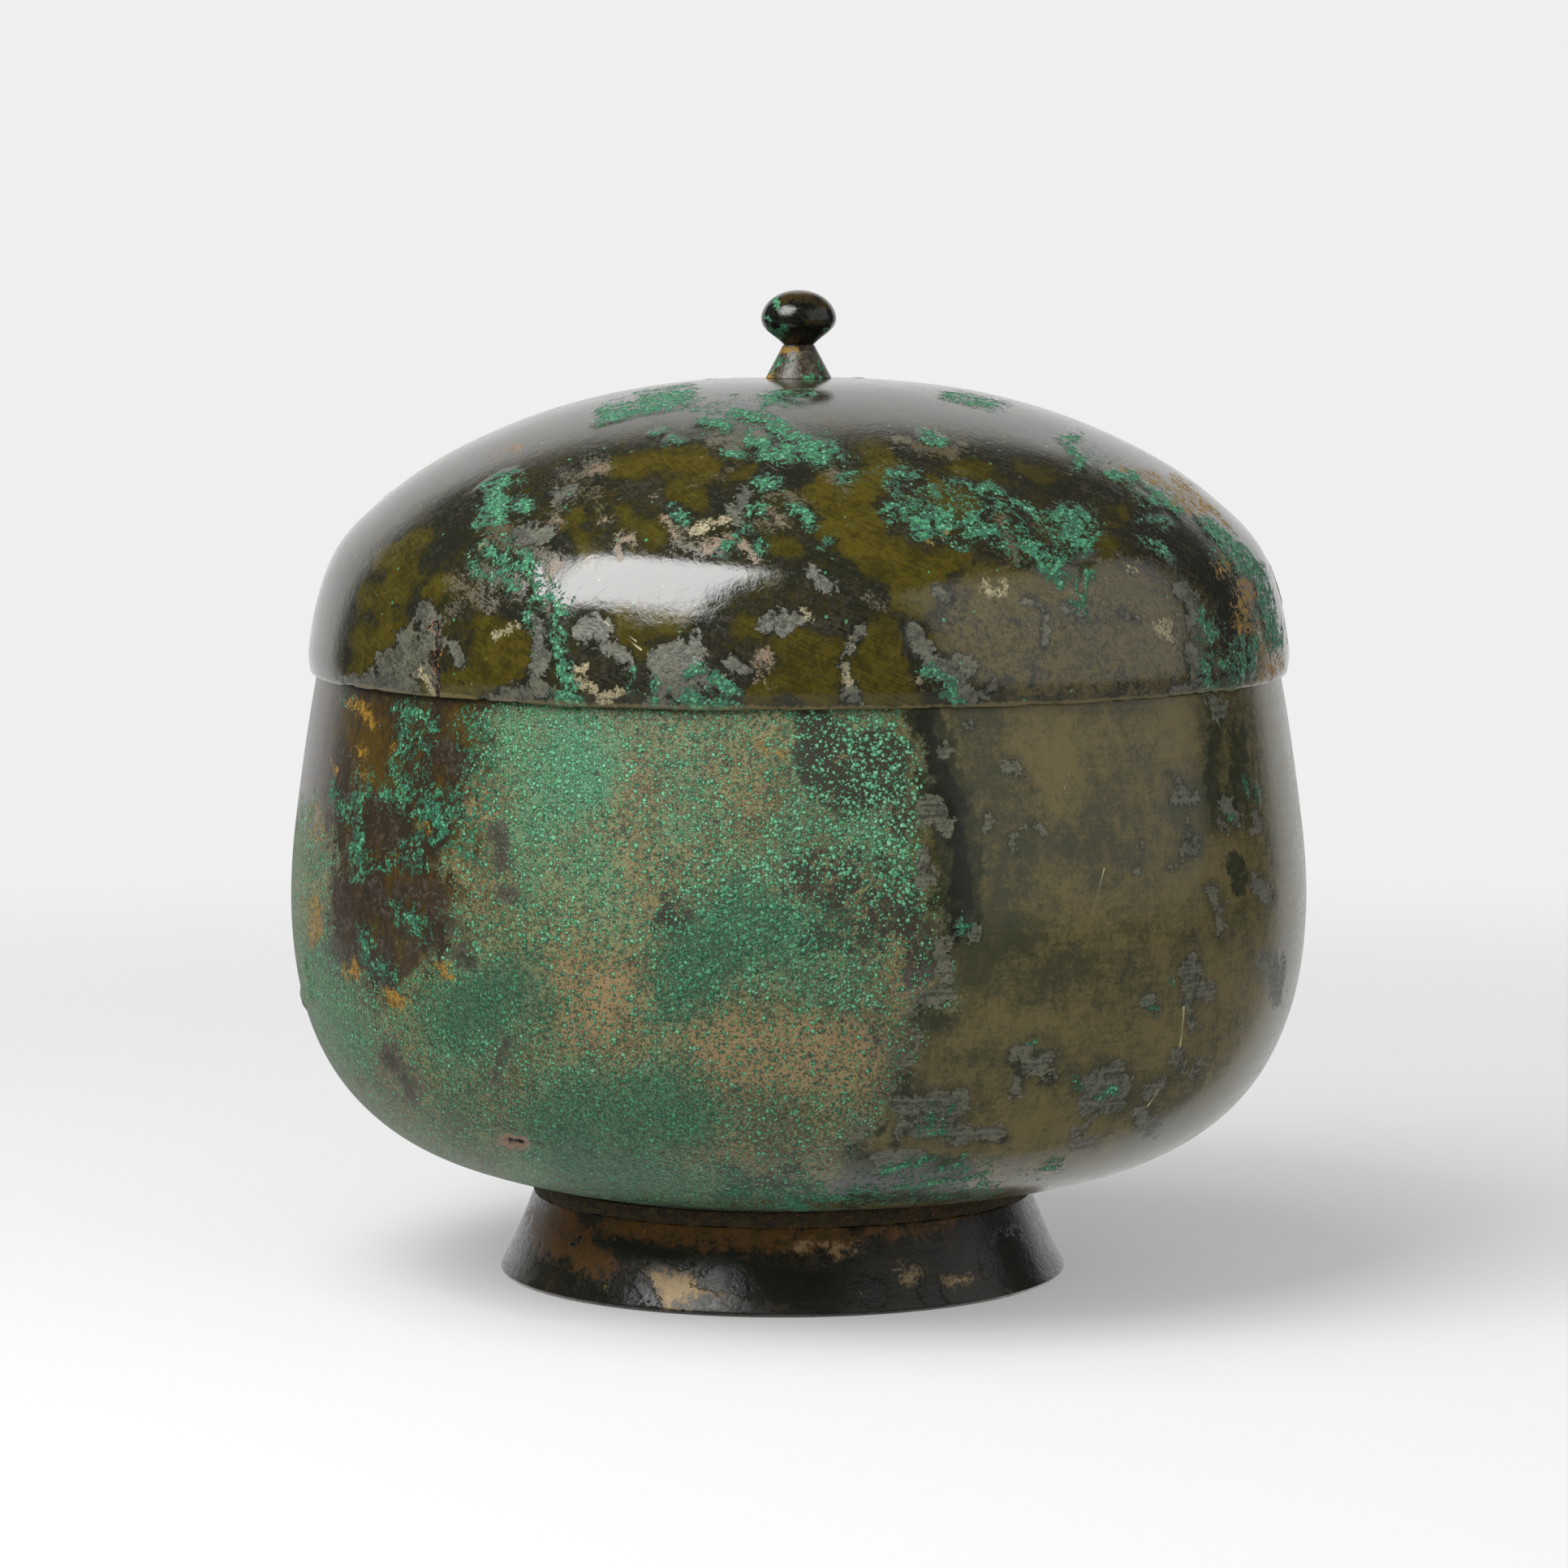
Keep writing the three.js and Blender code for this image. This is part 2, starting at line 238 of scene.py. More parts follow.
LID_TAN = (
    (8, (942, 802), (936, 830)), (5, (930, 838), (954, 850)), (9, (761, 665), (766, 686)),
    (6, (772, 659), (779, 668)), (8, (820, 645), (836, 656)), (11, (873, 676), (900, 671)),
    (8, (914, 680), (926, 691)), (9, (692, 694), (679, 711)), (6, (729, 583), (742, 570)),
    (5, (804, 610), (813, 619)), (5, (735, 638), (752, 635)), (6, (675, 741), (680, 758)),
    (7, (668, 850), (681, 866)), (5, (665, 652), (690, 636)), (6, (946, 628), (964, 642)),
    (5, (600, 566), (640, 556)),
)
LID_CREAM = (
    (5, (714, 826), (728, 822)), (6, (719, 841), (736, 844)), (7, (744, 855), (766, 850)),
    (4, (615, 784), (628, 772), (641, 762)), (5, (858, 656), (876, 645)), (5, (885, 646), (895, 643)),
    (3, (1392, 700), (1396, 703)), (4, (1427, 769), (1429, 783)), (4, (1436, 774), (1443, 793)),
    (4, (1213, 720), (1220, 735), (1231, 733)), (3, (1238, 724), (1240, 728)),
    (3, (514, 828), (522, 842), (532, 858)), (3, (990, 756), (998, 768)), (3, (1136, 840), (1140, 842)),
    (3, (1042, 786), (1044, 794)), (3, (1037, 826), (1040, 840)), (3, (595, 672), (602, 676)),
)
LID_OCHRE = (
    (4, (1145, 664), (1160, 650)), (6, (1362, 573), (1384, 580)), (7, (1396, 588), (1420, 593)),
    (8, (1420, 597), (1446, 607)), (11, (1450, 620), (1478, 633)),
    (8, (1444, 588), (1462, 604), (1490, 622)), (6, (1486, 614), (1514, 650)),
    (5, (1504, 684), (1512, 700)), (4, (1526, 706), (1530, 734)), (13, (1536, 722), (1536, 756)),
    (15, (1538, 764), (1548, 776)), (11, (1552, 784), (1562, 804)), (9, (1556, 828), (1578, 820)),
    (5, (1572, 790), (1576, 806)),
)
LID_RUST = (
    (14, (606, 654), (640, 660)), (10, (1530, 720), (1552, 812)), (9, (1130, 545), (1172, 552)),
    (10, (1270, 640), (1300, 664)), (8, (1500, 812), (1510, 836)),
)
LID_DULL = (
    (70, (1230, 782), (1420, 786)),
)
LID_CRACK = ((535, 772), (538, 800), (534, 822), (538, 846), (539, 856))
LID_SCRATCHES = (
    (0.16, (746, 766), (790, 800)), (0.1, (752, 764), (784, 790)), (0.1, (1090, 602), (1150, 606)),
    (0.1, (936, 690), (966, 678)), (0.14, (1145, 666), (1160, 651)), (0.08, (700, 730), (780, 712)),
    (0.08, (730, 716), (820, 730)), (0.08, (800, 742), (880, 720)), (0.08, (740, 600), (790, 612)),
    (0.07, (760, 622), (800, 634)), (0.07, (1170, 600), (1240, 616)), (0.08, (900, 770), (950, 760)),
    (0.08, (905, 782), (960, 776)), (0.07, (560, 700), (600, 668)), (0.07, (570, 712), (604, 684)),
    (0.07, (1020, 690), (1100, 720)), (0.06, (1200, 640), (1260, 660)),
)

# Patches of the bowl's finishes, in the same way
BOWL_GRANULAR_EDGE = (
    (608, 862), (584, 892), (600, 926), (572, 956), (592, 984), (556, 1008), (578, 1040), (550, 1064),
    (570, 1096), (542, 1120), (560, 1158), (530, 1200), (500, 1225), (470, 1235), (440, 1206), (414, 1186),
    (398, 1150), (394, 1100), (404, 1060), (394, 1030), (384, 990), (340, 985), (320, 1100), (330, 1220),
    (370, 1320), (440, 1400), (520, 1440), (640, 1478), (820, 1492), (990, 1494), (1012, 1452),
    (1034, 1427), (1063, 1393), (1097, 1364), (1105, 1328), (1122, 1305), (1135, 1277), (1130, 1260),
    (1126, 1233), (1171, 1225), (1163, 1183), (1158, 1150), (1150, 1110), (1140, 1070), (1133, 1040),
    (1135, 1000), (1133, 950), (1120, 925), (1103, 905), (1100, 862),
)
BOWL_FILM = (
    (1.0, 50, (650, 910), (720, 950)), (0.8, 36, (725, 900), (742, 940)),
    (0.8, 40, (692, 960), (668, 1004)), (0.6, 32, (644, 1030), (650, 1084)),
    (0.6, 32, (728, 1062), (752, 1100)), (0.3, 40, (850, 958), (842, 990)),
    (0.4, 28, (800, 1020), (832, 1032)), (0.5, 40, (966, 1022), (1040, 1042)),
    (0.5, 36, (1080, 990), (1112, 1050)), (0.3, 22, (1040, 890), (1082, 890)),
    (0.7, 46, (896, 1100), (960, 1142)), (0.9, 38, (884, 1160), (830, 1222)),
    (0.5, 38, (980, 1170), (1022, 1212)), (0.6, 46, (590, 1232), (560, 1300)),
    (0.9, 30, (392, 1180), (412, 1250), (440, 1290)), (0.8, 56, (696, 1370), (784, 1384)),
    (0.7, 38, (826, 1328), (852, 1362)), (0.8, 26, (650, 1440), (780, 1458), (900, 1464)),
    (0.9, 18, (956, 1466), (1060, 1476)), (-0.7, 34, (786, 972), (790, 1100)),
    (-0.7, 34, (906, 950), (930, 992)), (-0.5, 34, (862, 1072), (848, 1102)),
    (-0.9, 40, (696, 1210), (784, 1212)), (-0.8, 34, (716, 1262), (774, 1292)),
    (-1.0, 54, (876, 1290), (1062, 1312)), (-0.8, 42, (1010, 1082), (1052, 1130)),
    (-1.0, 34, (1132, 1150), (1130, 1242)), (-0.8, 36, (590, 990), (592, 1092)),
    (-0.4, 36, (646, 1160), (682, 1182)), (-0.6, 36, (896, 1422), (1004, 1410)),
    (-0.6, 26, (486, 1310), (512, 1340)), (-0.5, 26, (590, 1340), (622, 1350)),
)
BOWL_WARM = (
    (0.5, 50, (890, 1300), (1040, 1290)), (1.0, 24, (694, 1204), (742, 1216)),
    (1.0, 20, (704, 1266), (742, 1260)), (0.8, 26, (758, 1200), (792, 1216)),
    (0.7, 30, (750, 1250), (782, 1292)), (0.6, 44, (890, 1282), (1062, 1312)),
    (0.7, 26, (1110, 1150), (1132, 1232)), (0.5, 26, (588, 960), (602, 1002)),
    (0.8, 14, (932, 912), (962, 904)), (0.5, 40, (560, 1000), (600, 1100)),
    (0.4, 30, (900, 950), (926, 990)), (0.3, 36, (786, 970), (790, 1060)),
)
BOWL_BROWN = (
    (1.4, 22, (1000, 884), (1002, 952)), (1.1, 20, (1078, 916), (1104, 926)),
    (0.9, 24, (1092, 960), (1110, 1000)), (1.0, 20, (1022, 980), (1062, 982)),
    (0.7, 46, (1016, 1080), (1054, 1132)), (0.8, 12, (1000, 1160), (1014, 1166)),
    (0.7, 18, (824, 1112), (832, 1148)), (0.7, 24, (1130, 1140), (1136, 1192)),
    (0.6, 30, (1104, 1050), (1120, 1120)), (1.0, 26, (1030, 910), (1050, 950)),
    (0.7, 22, (900, 1458), (1060, 1468)),
)
BOWL_MAUVE = (
    (0.9, 20, (478, 1296), (512, 1342)), (0.8, 10, (622, 1280), (608, 1328)),
    (0.8, 22, (1136, 1204), (1112, 1292)), (0.5, 26, (588, 1340), (622, 1352)),
    (0.7, 18, (1100, 1310), (1072, 1372)), (0.6, 16, (1050, 1400), (1030, 1430)),
    (0.7, 10, (1074, 1264), (1070, 1300)), (0.7, 12, (706, 1262), (718, 1272)),
    (0.7, 10, (712, 1206), (722, 1212)), (0.7, 14, (616, 1022), (618, 1066)),
    (0.7, 12, (620, 1098), (634, 1106)), (0.8, 16, (1146, 990), (1160, 1010)),
)
BOWL_SATIN = (
    (-0.8, 34, (1208, 890), (1222, 1150)), (0.8, 42, (1276, 900), (1330, 930)),
    (0.6, 28, (1300, 950), (1312, 992)), (0.5, 32, (1440, 890), (1472, 922)),
    (0.5, 36, (1310, 1100), (1352, 1150)), (0.6, 40, (1400, 1080), (1472, 1102)),
    (0.5, 28, (1410, 1170), (1424, 1182)), (0.5, 36, (1520, 1200), (1552, 1242)),
    (0.9, 32, (1250, 1382), (1312, 1380)), (0.5, 60, (1330, 1264), (1480, 1256)),
    (0.6, 22, (1148, 1282), (1184, 1270)), (0.4, 28, (1228, 1260), (1252, 1272)),
    (0.5, 22, (1490, 1062), (1534, 1045)), (-0.7, 36, (1310, 1202), (1392, 1212)),
    (-0.6, 32, (1360, 1050), (1404, 1072)), (-0.5, 28, (1462, 1000), (1452, 1044)),
    (-0.7, 26, (1492, 900), (1500, 1002)), (-0.9, 12, (1248, 1134), (1253, 1152)),
    (-0.8, 11, (1394, 1140), (1402, 1150)), (-0.7, 26, (1350, 1312), (1392, 1352)),
    (-0.7, 20, (1208, 1302), (1242, 1302)), (-1.0, 22, (1148, 1246), (1164, 1256)),
    (-0.8, 18, (1108, 1332), (1124, 1342)), (-0.6, 36, (1202, 1180), (1190, 1224)),
    (-0.5, 34, (1442, 1352), (1420, 1392)), (-0.6, 22, (1290, 1300), (1312, 1332)),
    (-0.5, 20, (1270, 1050), (1300, 1040)), (-0.5, 24, (1350, 940), (1362, 990)),
)
BOWL_PALE = (
    (1.0, 46, (1040, 900), (1100, 990)), (0.5, 50, (650, 910), (740, 950)),
    (0.4, 40, (980, 1040), (1090, 1060)), (0.3, 40, (830, 960), (900, 1040)),
    (-1.0, 50, (840, 1212), (920, 1130)), (-0.8, 44, (560, 1250), (650, 1225)),
    (-0.9, 56, (720, 1390), (830, 1370)), (-0.6, 40, (980, 1170), (1020, 1140)),
    (-0.5, 30, (640, 1170), (600, 1230)), (-0.6, 30, (700, 1450), (900, 1466)),
    (-0.5, 40, (580, 1360), (640, 1390)),
)
BOWL_GRAIN = (
    (1.0, 54, (904, 1140), (840, 1212)), (0.9, 52, (996, 1030), (1092, 1062)),
    (0.9, 40, (1056, 890), (1092, 962)), (0.7, 46, (996, 1150), (1044, 1202)),
    (0.4, 46, (684, 1150), (600, 1182)), (0.6, 36, (860, 1080), (942, 1082)),
    (0.4, 36, (622, 1240), (560, 1282)), (0.6, 30, (1110, 1060), (1130, 1110)),
    (0.3, 46, (620, 950), (642, 1002)),
)
BOWL_CRUST = (
    (6, (492, 876), (530, 882)), (5, (500, 892), (532, 900)), (4, (498, 905), (490, 935), (496, 966)),
    (3, (512, 945), (506, 966)), (3, (520, 922), (524, 944)), (6, (478, 974), (510, 978), (546, 972)),
    (7, (500, 985), (530, 996)), (6, (504, 1010), (534, 1006)), (9, (530, 990), (538, 1010), (546, 1030)),
    (5, (449, 956), (464, 952)), (4, (458, 964), (442, 990), (438, 1012), (438, 1036)),
    (3, (409, 964), (415, 990), (424, 1012)), (8, (432, 1042), (446, 1056)), (4, (440, 1068), (437, 1086)),
    (5, (464, 1068), (490, 1054), (512, 1044)), (4, (505, 1068), (522, 1064)),
    (4, (570, 1048), (592, 1058)), (4, (480, 1116), (491, 1136)), (5, (497, 1127), (513, 1141)),
    (3, (430, 858), (433, 872)), (5, (450, 1164), (456, 1196)), (6, (474, 1194), (490, 1210)),
    (7, (1184, 1141), (1192, 1143)), (4, (1146, 1370), (1174, 1361)), (4, (1128, 1392), (1152, 1380)),
    (4, (1146, 1396), (1170, 1391)), (5, (1090, 1440), (1140, 1430)), (5, (1110, 1462), (1200, 1456)),
    (4, (1160, 1442), (1190, 1430)), (6, (1000, 1472), (1070, 1470)), (5, (900, 1470), (990, 1480)),
    (4, (1290, 1440), (1310, 1436)), (6, (1360, 1350), (1374, 1350)), (3, (1436, 1200), (1444, 1212)),
    (3, (1420, 1244), (1424, 1246)), (3, (1266, 1290), (1282, 1294)), (3, (1326, 1320), (1330, 1336)),
    (3, (1536, 960), (1546, 990)), (3, (1512, 1002), (1522, 1008)),
)
BOWL_LACY = (
    (0.5, 30, (560, 880), (590, 960)), (0.4, 34, (530, 1080), (560, 1190)),
    (0.4, 26, (450, 1190), (520, 1220)), (0.25, 40, (480, 900), (520, 1000)),
    (1.2, 20, (508, 872), (508, 960)), (1.2, 26, (490, 980), (550, 990)),
    (1.1, 22, (540, 1000), (556, 1036)), (1.0, 16, (454, 950), (436, 1010)),
    (1.0, 10, (410, 964), (422, 1010)), (1.1, 16, (434, 1044), (446, 1076)),
    (1.0, 20, (478, 1060), (510, 1036)), (1.1, 22, (586, 890), (592, 1000)),
    (1.0, 24, (572, 1000), (596, 1060)), (0.9, 20, (484, 1116), (514, 1146)),
    (1.0, 14, (448, 1146), (456, 1192)), (0.9, 16, (474, 1196), (492, 1212)),
    (0.8, 24, (384, 1060), (392, 1180)), (0.8, 24, (1150, 1370), (1160, 1400)),
    (0.9, 18, (1060, 1440), (1200, 1440)), (1.2, 16, (900, 1472), (1080, 1474), (1220, 1462)),
    (0.7, 20, (1290, 1440), (1200, 1450)), (0.6, 14, (1360, 1350), (1376, 1350)),
)
BOWL_RUST = (
    (40, (455, 900), (470, 960)), (30, (560, 880), (590, 905)), (30, (500, 1080), (560, 1120)),
    (26, (590, 1020), (560, 1060)), (24, (500, 1170), (530, 1200)), (24, (1120, 1120), (1130, 1180)),
)
BOWL_DARK = (
    (12, (429, 925), (432, 978)), (16, (462, 985), (478, 1028)), (16, (545, 920), (566, 945)),
    (12, (616, 1022), (618, 1066)), (14, (458, 1090), (466, 1120)), (15, (420, 1080), (428, 1135)),
    (11, (535, 1124), (552, 1138)), (9, (620, 1098), (634, 1104)), (14, (412, 1162), (432, 1182)),
    (11, (472, 1166), (468, 1205)), (9, (512, 1168), (506, 1200)), (9, (562, 1170), (574, 1188)),
    (8, (480, 1296), (497, 1320), (512, 1342)), (5, (622, 1282), (614, 1306), (608, 1328)),
    (3, (598, 1316), (610, 1319)), (5, (1077, 1262), (1071, 1300)), (16, (500, 1094), (540, 1106)),
    (9, (400, 900), (408, 960)),
)
BOWL_OCHRE = (
    (8, (438, 866), (456, 886)), (5, (442, 914), (446, 932)), (4, (487, 918), (490, 929)),
    (6, (450, 953), (460, 952)), (4, (411, 940), (414, 958)), (7, (514, 1016), (522, 1020)),
    (4, (480, 1052), (484, 1058)), (4, (388, 996), (390, 1030)), (9, (384, 1110), (388, 1158)),
    (8, (428, 1192), (436, 1204)), (8, (545, 1190), (560, 1206)), (11, (480, 1226), (496, 1236)),
    (5, (932, 912), (942, 916)), (3, (951, 900), (958, 900)), (3, (954, 930), (964, 931)),
)
BOWL_GREY = (
    (6, (1158, 924), (1164, 928)), (5, (1190, 898), (1200, 891)), (9, (1243, 944), (1250, 950)),
    (3, (1256, 954), (1260, 957)), (8, (1220, 1010), (1220, 1018)), (6, (1266, 1022), (1278, 1024)),
    (4, (1245, 1036), (1247, 1050)), (5, (1204, 1140), (1208, 1160)), (4, (1178, 1144), (1164, 1160)),
    (14, (1148, 992), (1164, 1012)), (8, (1146, 1050), (1150, 1090)), (8, (1160, 1160), (1162, 1200)),
    (9, (1136, 1226), (1166, 1218)), (5, (1128, 1240), (1128, 1270), (1132, 1284)),
    (4, (1120, 1306), (1104, 1326), (1096, 1362)), (5, (1060, 1396), (1036, 1426)),
    (14, (1110, 1360), (1180, 1362)), (10, (1110, 1390), (1190, 1388)), (9, (1180, 1402), (1232, 1396)),
    (10, (1080, 1434), (1130, 1424)), (6, (1246, 1306), (1266, 1300)), (13, (1272, 1316), (1288, 1312)),
    (7, (1266, 1336), (1256, 1348)), (5, (1443, 955), (1458, 966)), (8, (1462, 974), (1466, 986)),
    (3, (1474, 987), (1486, 983)), (3, (1444, 988), (1446, 995)), (4, (1461, 1012), (1459, 1024)),
    (9, (1460, 1036), (1463, 1050)), (5, (1402, 1066), (1404, 1068)), (5, (1443, 1070), (1446, 1072)),
    (3, (1410, 1043), (1412, 1052)), (4, (1498, 1012), (1502, 1024)), (7, (1515, 986), (1522, 1006)),
    (5, (1540, 1008), (1546, 1020)), (8, (1492, 1094), (1502, 1112)), (4, (1500, 1118), (1506, 1156)),
    (9, (1550, 1086), (1562, 1104)), (8, (1492, 856), (1502, 876)), (13, (1463, 1190), (1476, 1216)),
    (8, (1468, 1232), (1482, 1226)), (4, (1468, 1242), (1470, 1272)), (7, (1418, 1238), (1424, 1242)),
    (15, (1342, 1336), (1376, 1322)), (16, (1346, 1354), (1376, 1352)), (6, (1342, 1380), (1332, 1394)),
    (8, (1446, 1302), (1456, 1316)), (4, (1436, 1326), (1416, 1342)), (9, (1408, 1370), (1414, 1390)),
    (3, (1480, 1310), (1473, 1330)), (4, (1322, 1416), (1350, 1406)), (8, (1568, 1180), (1574, 1226)),
    (6, (1296, 1304), (1296, 1326)),
)
BOWL_BLACK = (
    (30, (1136, 885), (1154, 940), (1178, 1000), (1186, 1060), (1182, 1140)),
    (16, (1148, 1240), (1160, 1252)), (10, (1120, 1330), (1114, 1350)), (14, (1497, 890), (1502, 986)),
    (14, (1526, 896), (1530, 980)), (16, (1516, 1060), (1526, 1090)), (14, (1080, 1396), (1104, 1404)),
    (14, (1048, 1430), (1060, 1432)), (30, (1050, 1462), (1180, 1446)), (14, (1216, 1404), (1236, 1400)),
    (12, (1290, 1340), (1306, 1330)), (12, (1252, 1320), (1262, 1326)),
)
BOWL_OLIVE = (
    (40, (1270, 1390), (1310, 1385)), (20, (1140, 1290), (1180, 1290)), (12, (1090, 1400), (1100, 1400)),
    (40, (1230, 1240), (1260, 1270)), (30, (1390, 1400), (1330, 1430)),
)
BOWL_PIT = (
    (4.5, (622, 1404), (636, 1410)),
)
BOWL_FLAKE = (
    (6, (377, 1192), (378, 1232)),
)
BOWL_SCRATCHES = (
    (0.1, (1272, 957), (1283, 981)), (0.09, (1319, 953), (1311, 972)), (0.1, (1288, 1102), (1338, 1099)),
    (0.09, (1359, 992), (1358, 1008)), (0.16, (1360, 1070), (1345, 1126)),
    (0.28, (1458, 1241), (1453, 1288)), (0.22, (1426, 1342), (1414, 1362)),
    (0.14, (1443, 1332), (1440, 1346)), (0.08, (1240, 1240), (1248, 1248)), (0.1, (1316, 955), (1322, 935)),
)

# Patches of the foot's finishes, in the same way
FOOT_OCHRE = (
    (12, (664, 1512), (690, 1540)), (26, (690, 1508), (730, 1552)),
    (16, (760, 1512), (900, 1520), (1040, 1528)), (8, (650, 1492), (690, 1500)),
    (6, (1060, 1520), (1180, 1500)),
)
FOOT_BLACK = (
    (6, (742, 1528), (748, 1534)), (11, (766, 1540), (800, 1545)), (9, (818, 1546), (852, 1548)),
    (14, (786, 1580), (796, 1596)), (5, (712, 1528), (714, 1530)), (10, (720, 1590), (766, 1592)),
    (12, (1150, 1580), (1156, 1604)), (34, (1240, 1550), (1262, 1566)), (20, (880, 1575), (1080, 1590)),
)
# Bare metal of the foot; the broad first stroke is also a painted reflection of the key softbox
FOOT_BARE_AND_GLINT = (
    (22, (800, 1584), (890, 1582)), (8, (1120, 1572), (1190, 1580)), (5, (985, 1534), (1060, 1542)),
)
FOOT_GREY = (
    (10, (640, 1530), (646, 1570)), (14, (1290, 1500), (1302, 1560)),
)

# Patches of the knob's finishes, in the same way
BEAD_GREEN = (
    (2, (953, 368), (958, 370)), (2, (943, 389), (947, 391)), (3, (947, 403), (960, 408)),
    (2, (1012, 408), (1016, 404)),
)
BEAD_BROWN = (
    (10, (968, 360), (1004, 360)), (6, (1010, 366), (1018, 374)), (4, (990, 392), (1004, 396)),
)
COLLAR_GREEN = (
    (5, (947, 448), (948, 464)), (3, (958, 438), (963, 450)), (3, (990, 471), (1016, 471)),
    (2, (1004, 452), (1010, 458)),
)
COLLAR_OCHRE = (
    (3, (958, 431), (980, 431)), (4, (943, 463), (949, 467)),
)


# Sections and turned meshes

def section_of(node):
    """Points (radius, height) in mm round the section of a turned CAD node, outside first, and its axis."""
    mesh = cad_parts[node].data
    low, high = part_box(node)
    axis = (low.x + high.x) / 2
    column = {}
    for vertex in mesh.vertices:
        x, y, z = vertex.co
        if abs(x - axis) < COLUMN_TOLERANCE and y < COLUMN_TOLERANCE:
            column[vertex.index] = (abs(round(y / MM, 3)), round(z / MM, 3))
    links = {point: set() for point in column.values()}
    for edge in mesh.edges:
        start, stop = (column.get(index) for index in edge.vertices)
        if start and stop and start != stop:
            links[start].add(stop)
            links[stop].add(start)
    highlight_tips = [point for point, others in links.items() if len(others) == 1]
    first = min(highlight_tips or links, key=lambda point: (point[1], -point[0]))
    chain = [first, max(links[first])]
    while onward := links[chain[-1]] - set(chain):
        chain.append(onward.pop())
    if not highlight_tips:
        chain.append(first)
    return np.array(chain), axis / MM


def spline(points):
    """A curve with no kink through the points, as points about a line pitch apart."""
    span = np.hypot(*np.diff(points, axis=0).T)
    knots = np.concatenate(([0], np.cumsum(span)))
    system = np.eye(len(points))
    pull = np.zeros_like(points)
    for i in range(1, len(points) - 1):
        system[i, i - 1:i + 2] = span[i - 1], 2 * (span[i - 1] + span[i]), span[i]
        ahead = (points[i + 1] - points[i]) / span[i]
        behind = (points[i] - points[i - 1]) / span[i - 1]
        pull[i] = 6 * (ahead - behind)
    bend = np.linalg.solve(system, pull)
    where = np.linspace(0, knots[-1], max(2, round(knots[-1] / LINE_PITCH) + 1))
    i = np.clip(np.searchsorted(knots, where, side="right") - 1, 0, len(span) - 1)
    width = span[i][:, None]
    after = (where - knots[i])[:, None] / width
    before = 1 - after
    straight = before * points[i] + after * points[i + 1]
    return straight + ((before**3 - before) * bend[i] + (after**3 - after) * bend[i + 1]) * width**2 / 6


def fine_line(chain):
    """The section's points as a fine line, smooth between its corners and worn round at them."""
    heading = np.unwrap(np.arctan2(*np.diff(chain, axis=0).T[::-1]))
    corners = np.flatnonzero(abs(np.diff(heading)) > CORNER_TURN) + 1
    stops = [0, *corners, len(chain) - 1]
    runs = [spline(chain[start:stop + 1]) for start, stop in zip(stops, stops[1:])]
    line = np.concatenate([runs[0][:1], *(run[1:] for run in runs)])
    reach = round(3 * EDGE_ROUNDING / LINE_PITCH)
    offsets = np.arange(-reach, reach + 1)
    weights = np.exp(-0.5 * (offsets * LINE_PITCH / EDGE_ROUNDING) ** 2)
    weights /= weights.sum()
    if np.allclose(chain[0], chain[-1]):
        padded = np.concatenate([line[-reach - 1:-1], line, line[1:reach + 1]])
    else:
        over_axis = np.array([-1, 1])
        padded = np.concatenate([line[reach:0:-1] * over_axis, line, line[-2:-reach - 2:-1] * over_axis])
    return np.column_stack([np.convolve(padded[:, k], weights, "valid") for k in (0, 1)])


def even_angles(count):
    """Columns spaced evenly, with the seam at the back."""
    return np.linspace(-math.pi, math.pi, count, endpoint=False)


def front_angles(front_count, back_count):
    """Columns that are closer together on the photographed side, with the seam at the back."""
    front = np.linspace(-BACK_ANGLE, BACK_ANGLE, front_count)
    back = np.linspace(BACK_ANGLE, 2 * math.pi - BACK_ANGLE, back_count + 2)[1:-1]
    back = np.where(back >= math.pi, back - 2 * math.pi, back)
    return np.sort(np.concatenate([front, back]))


def whole_outside(line):
    """The outside is the whole section."""
    return len(line)


def up_to_rim(line):
    """The outside ends at the highest point of the section."""
    return int(np.argmax(line[:, 1]))


def up_to_hole(line):
    """The outside ends at the hole in the middle."""
    return int(np.argmin(line[:, 0]))


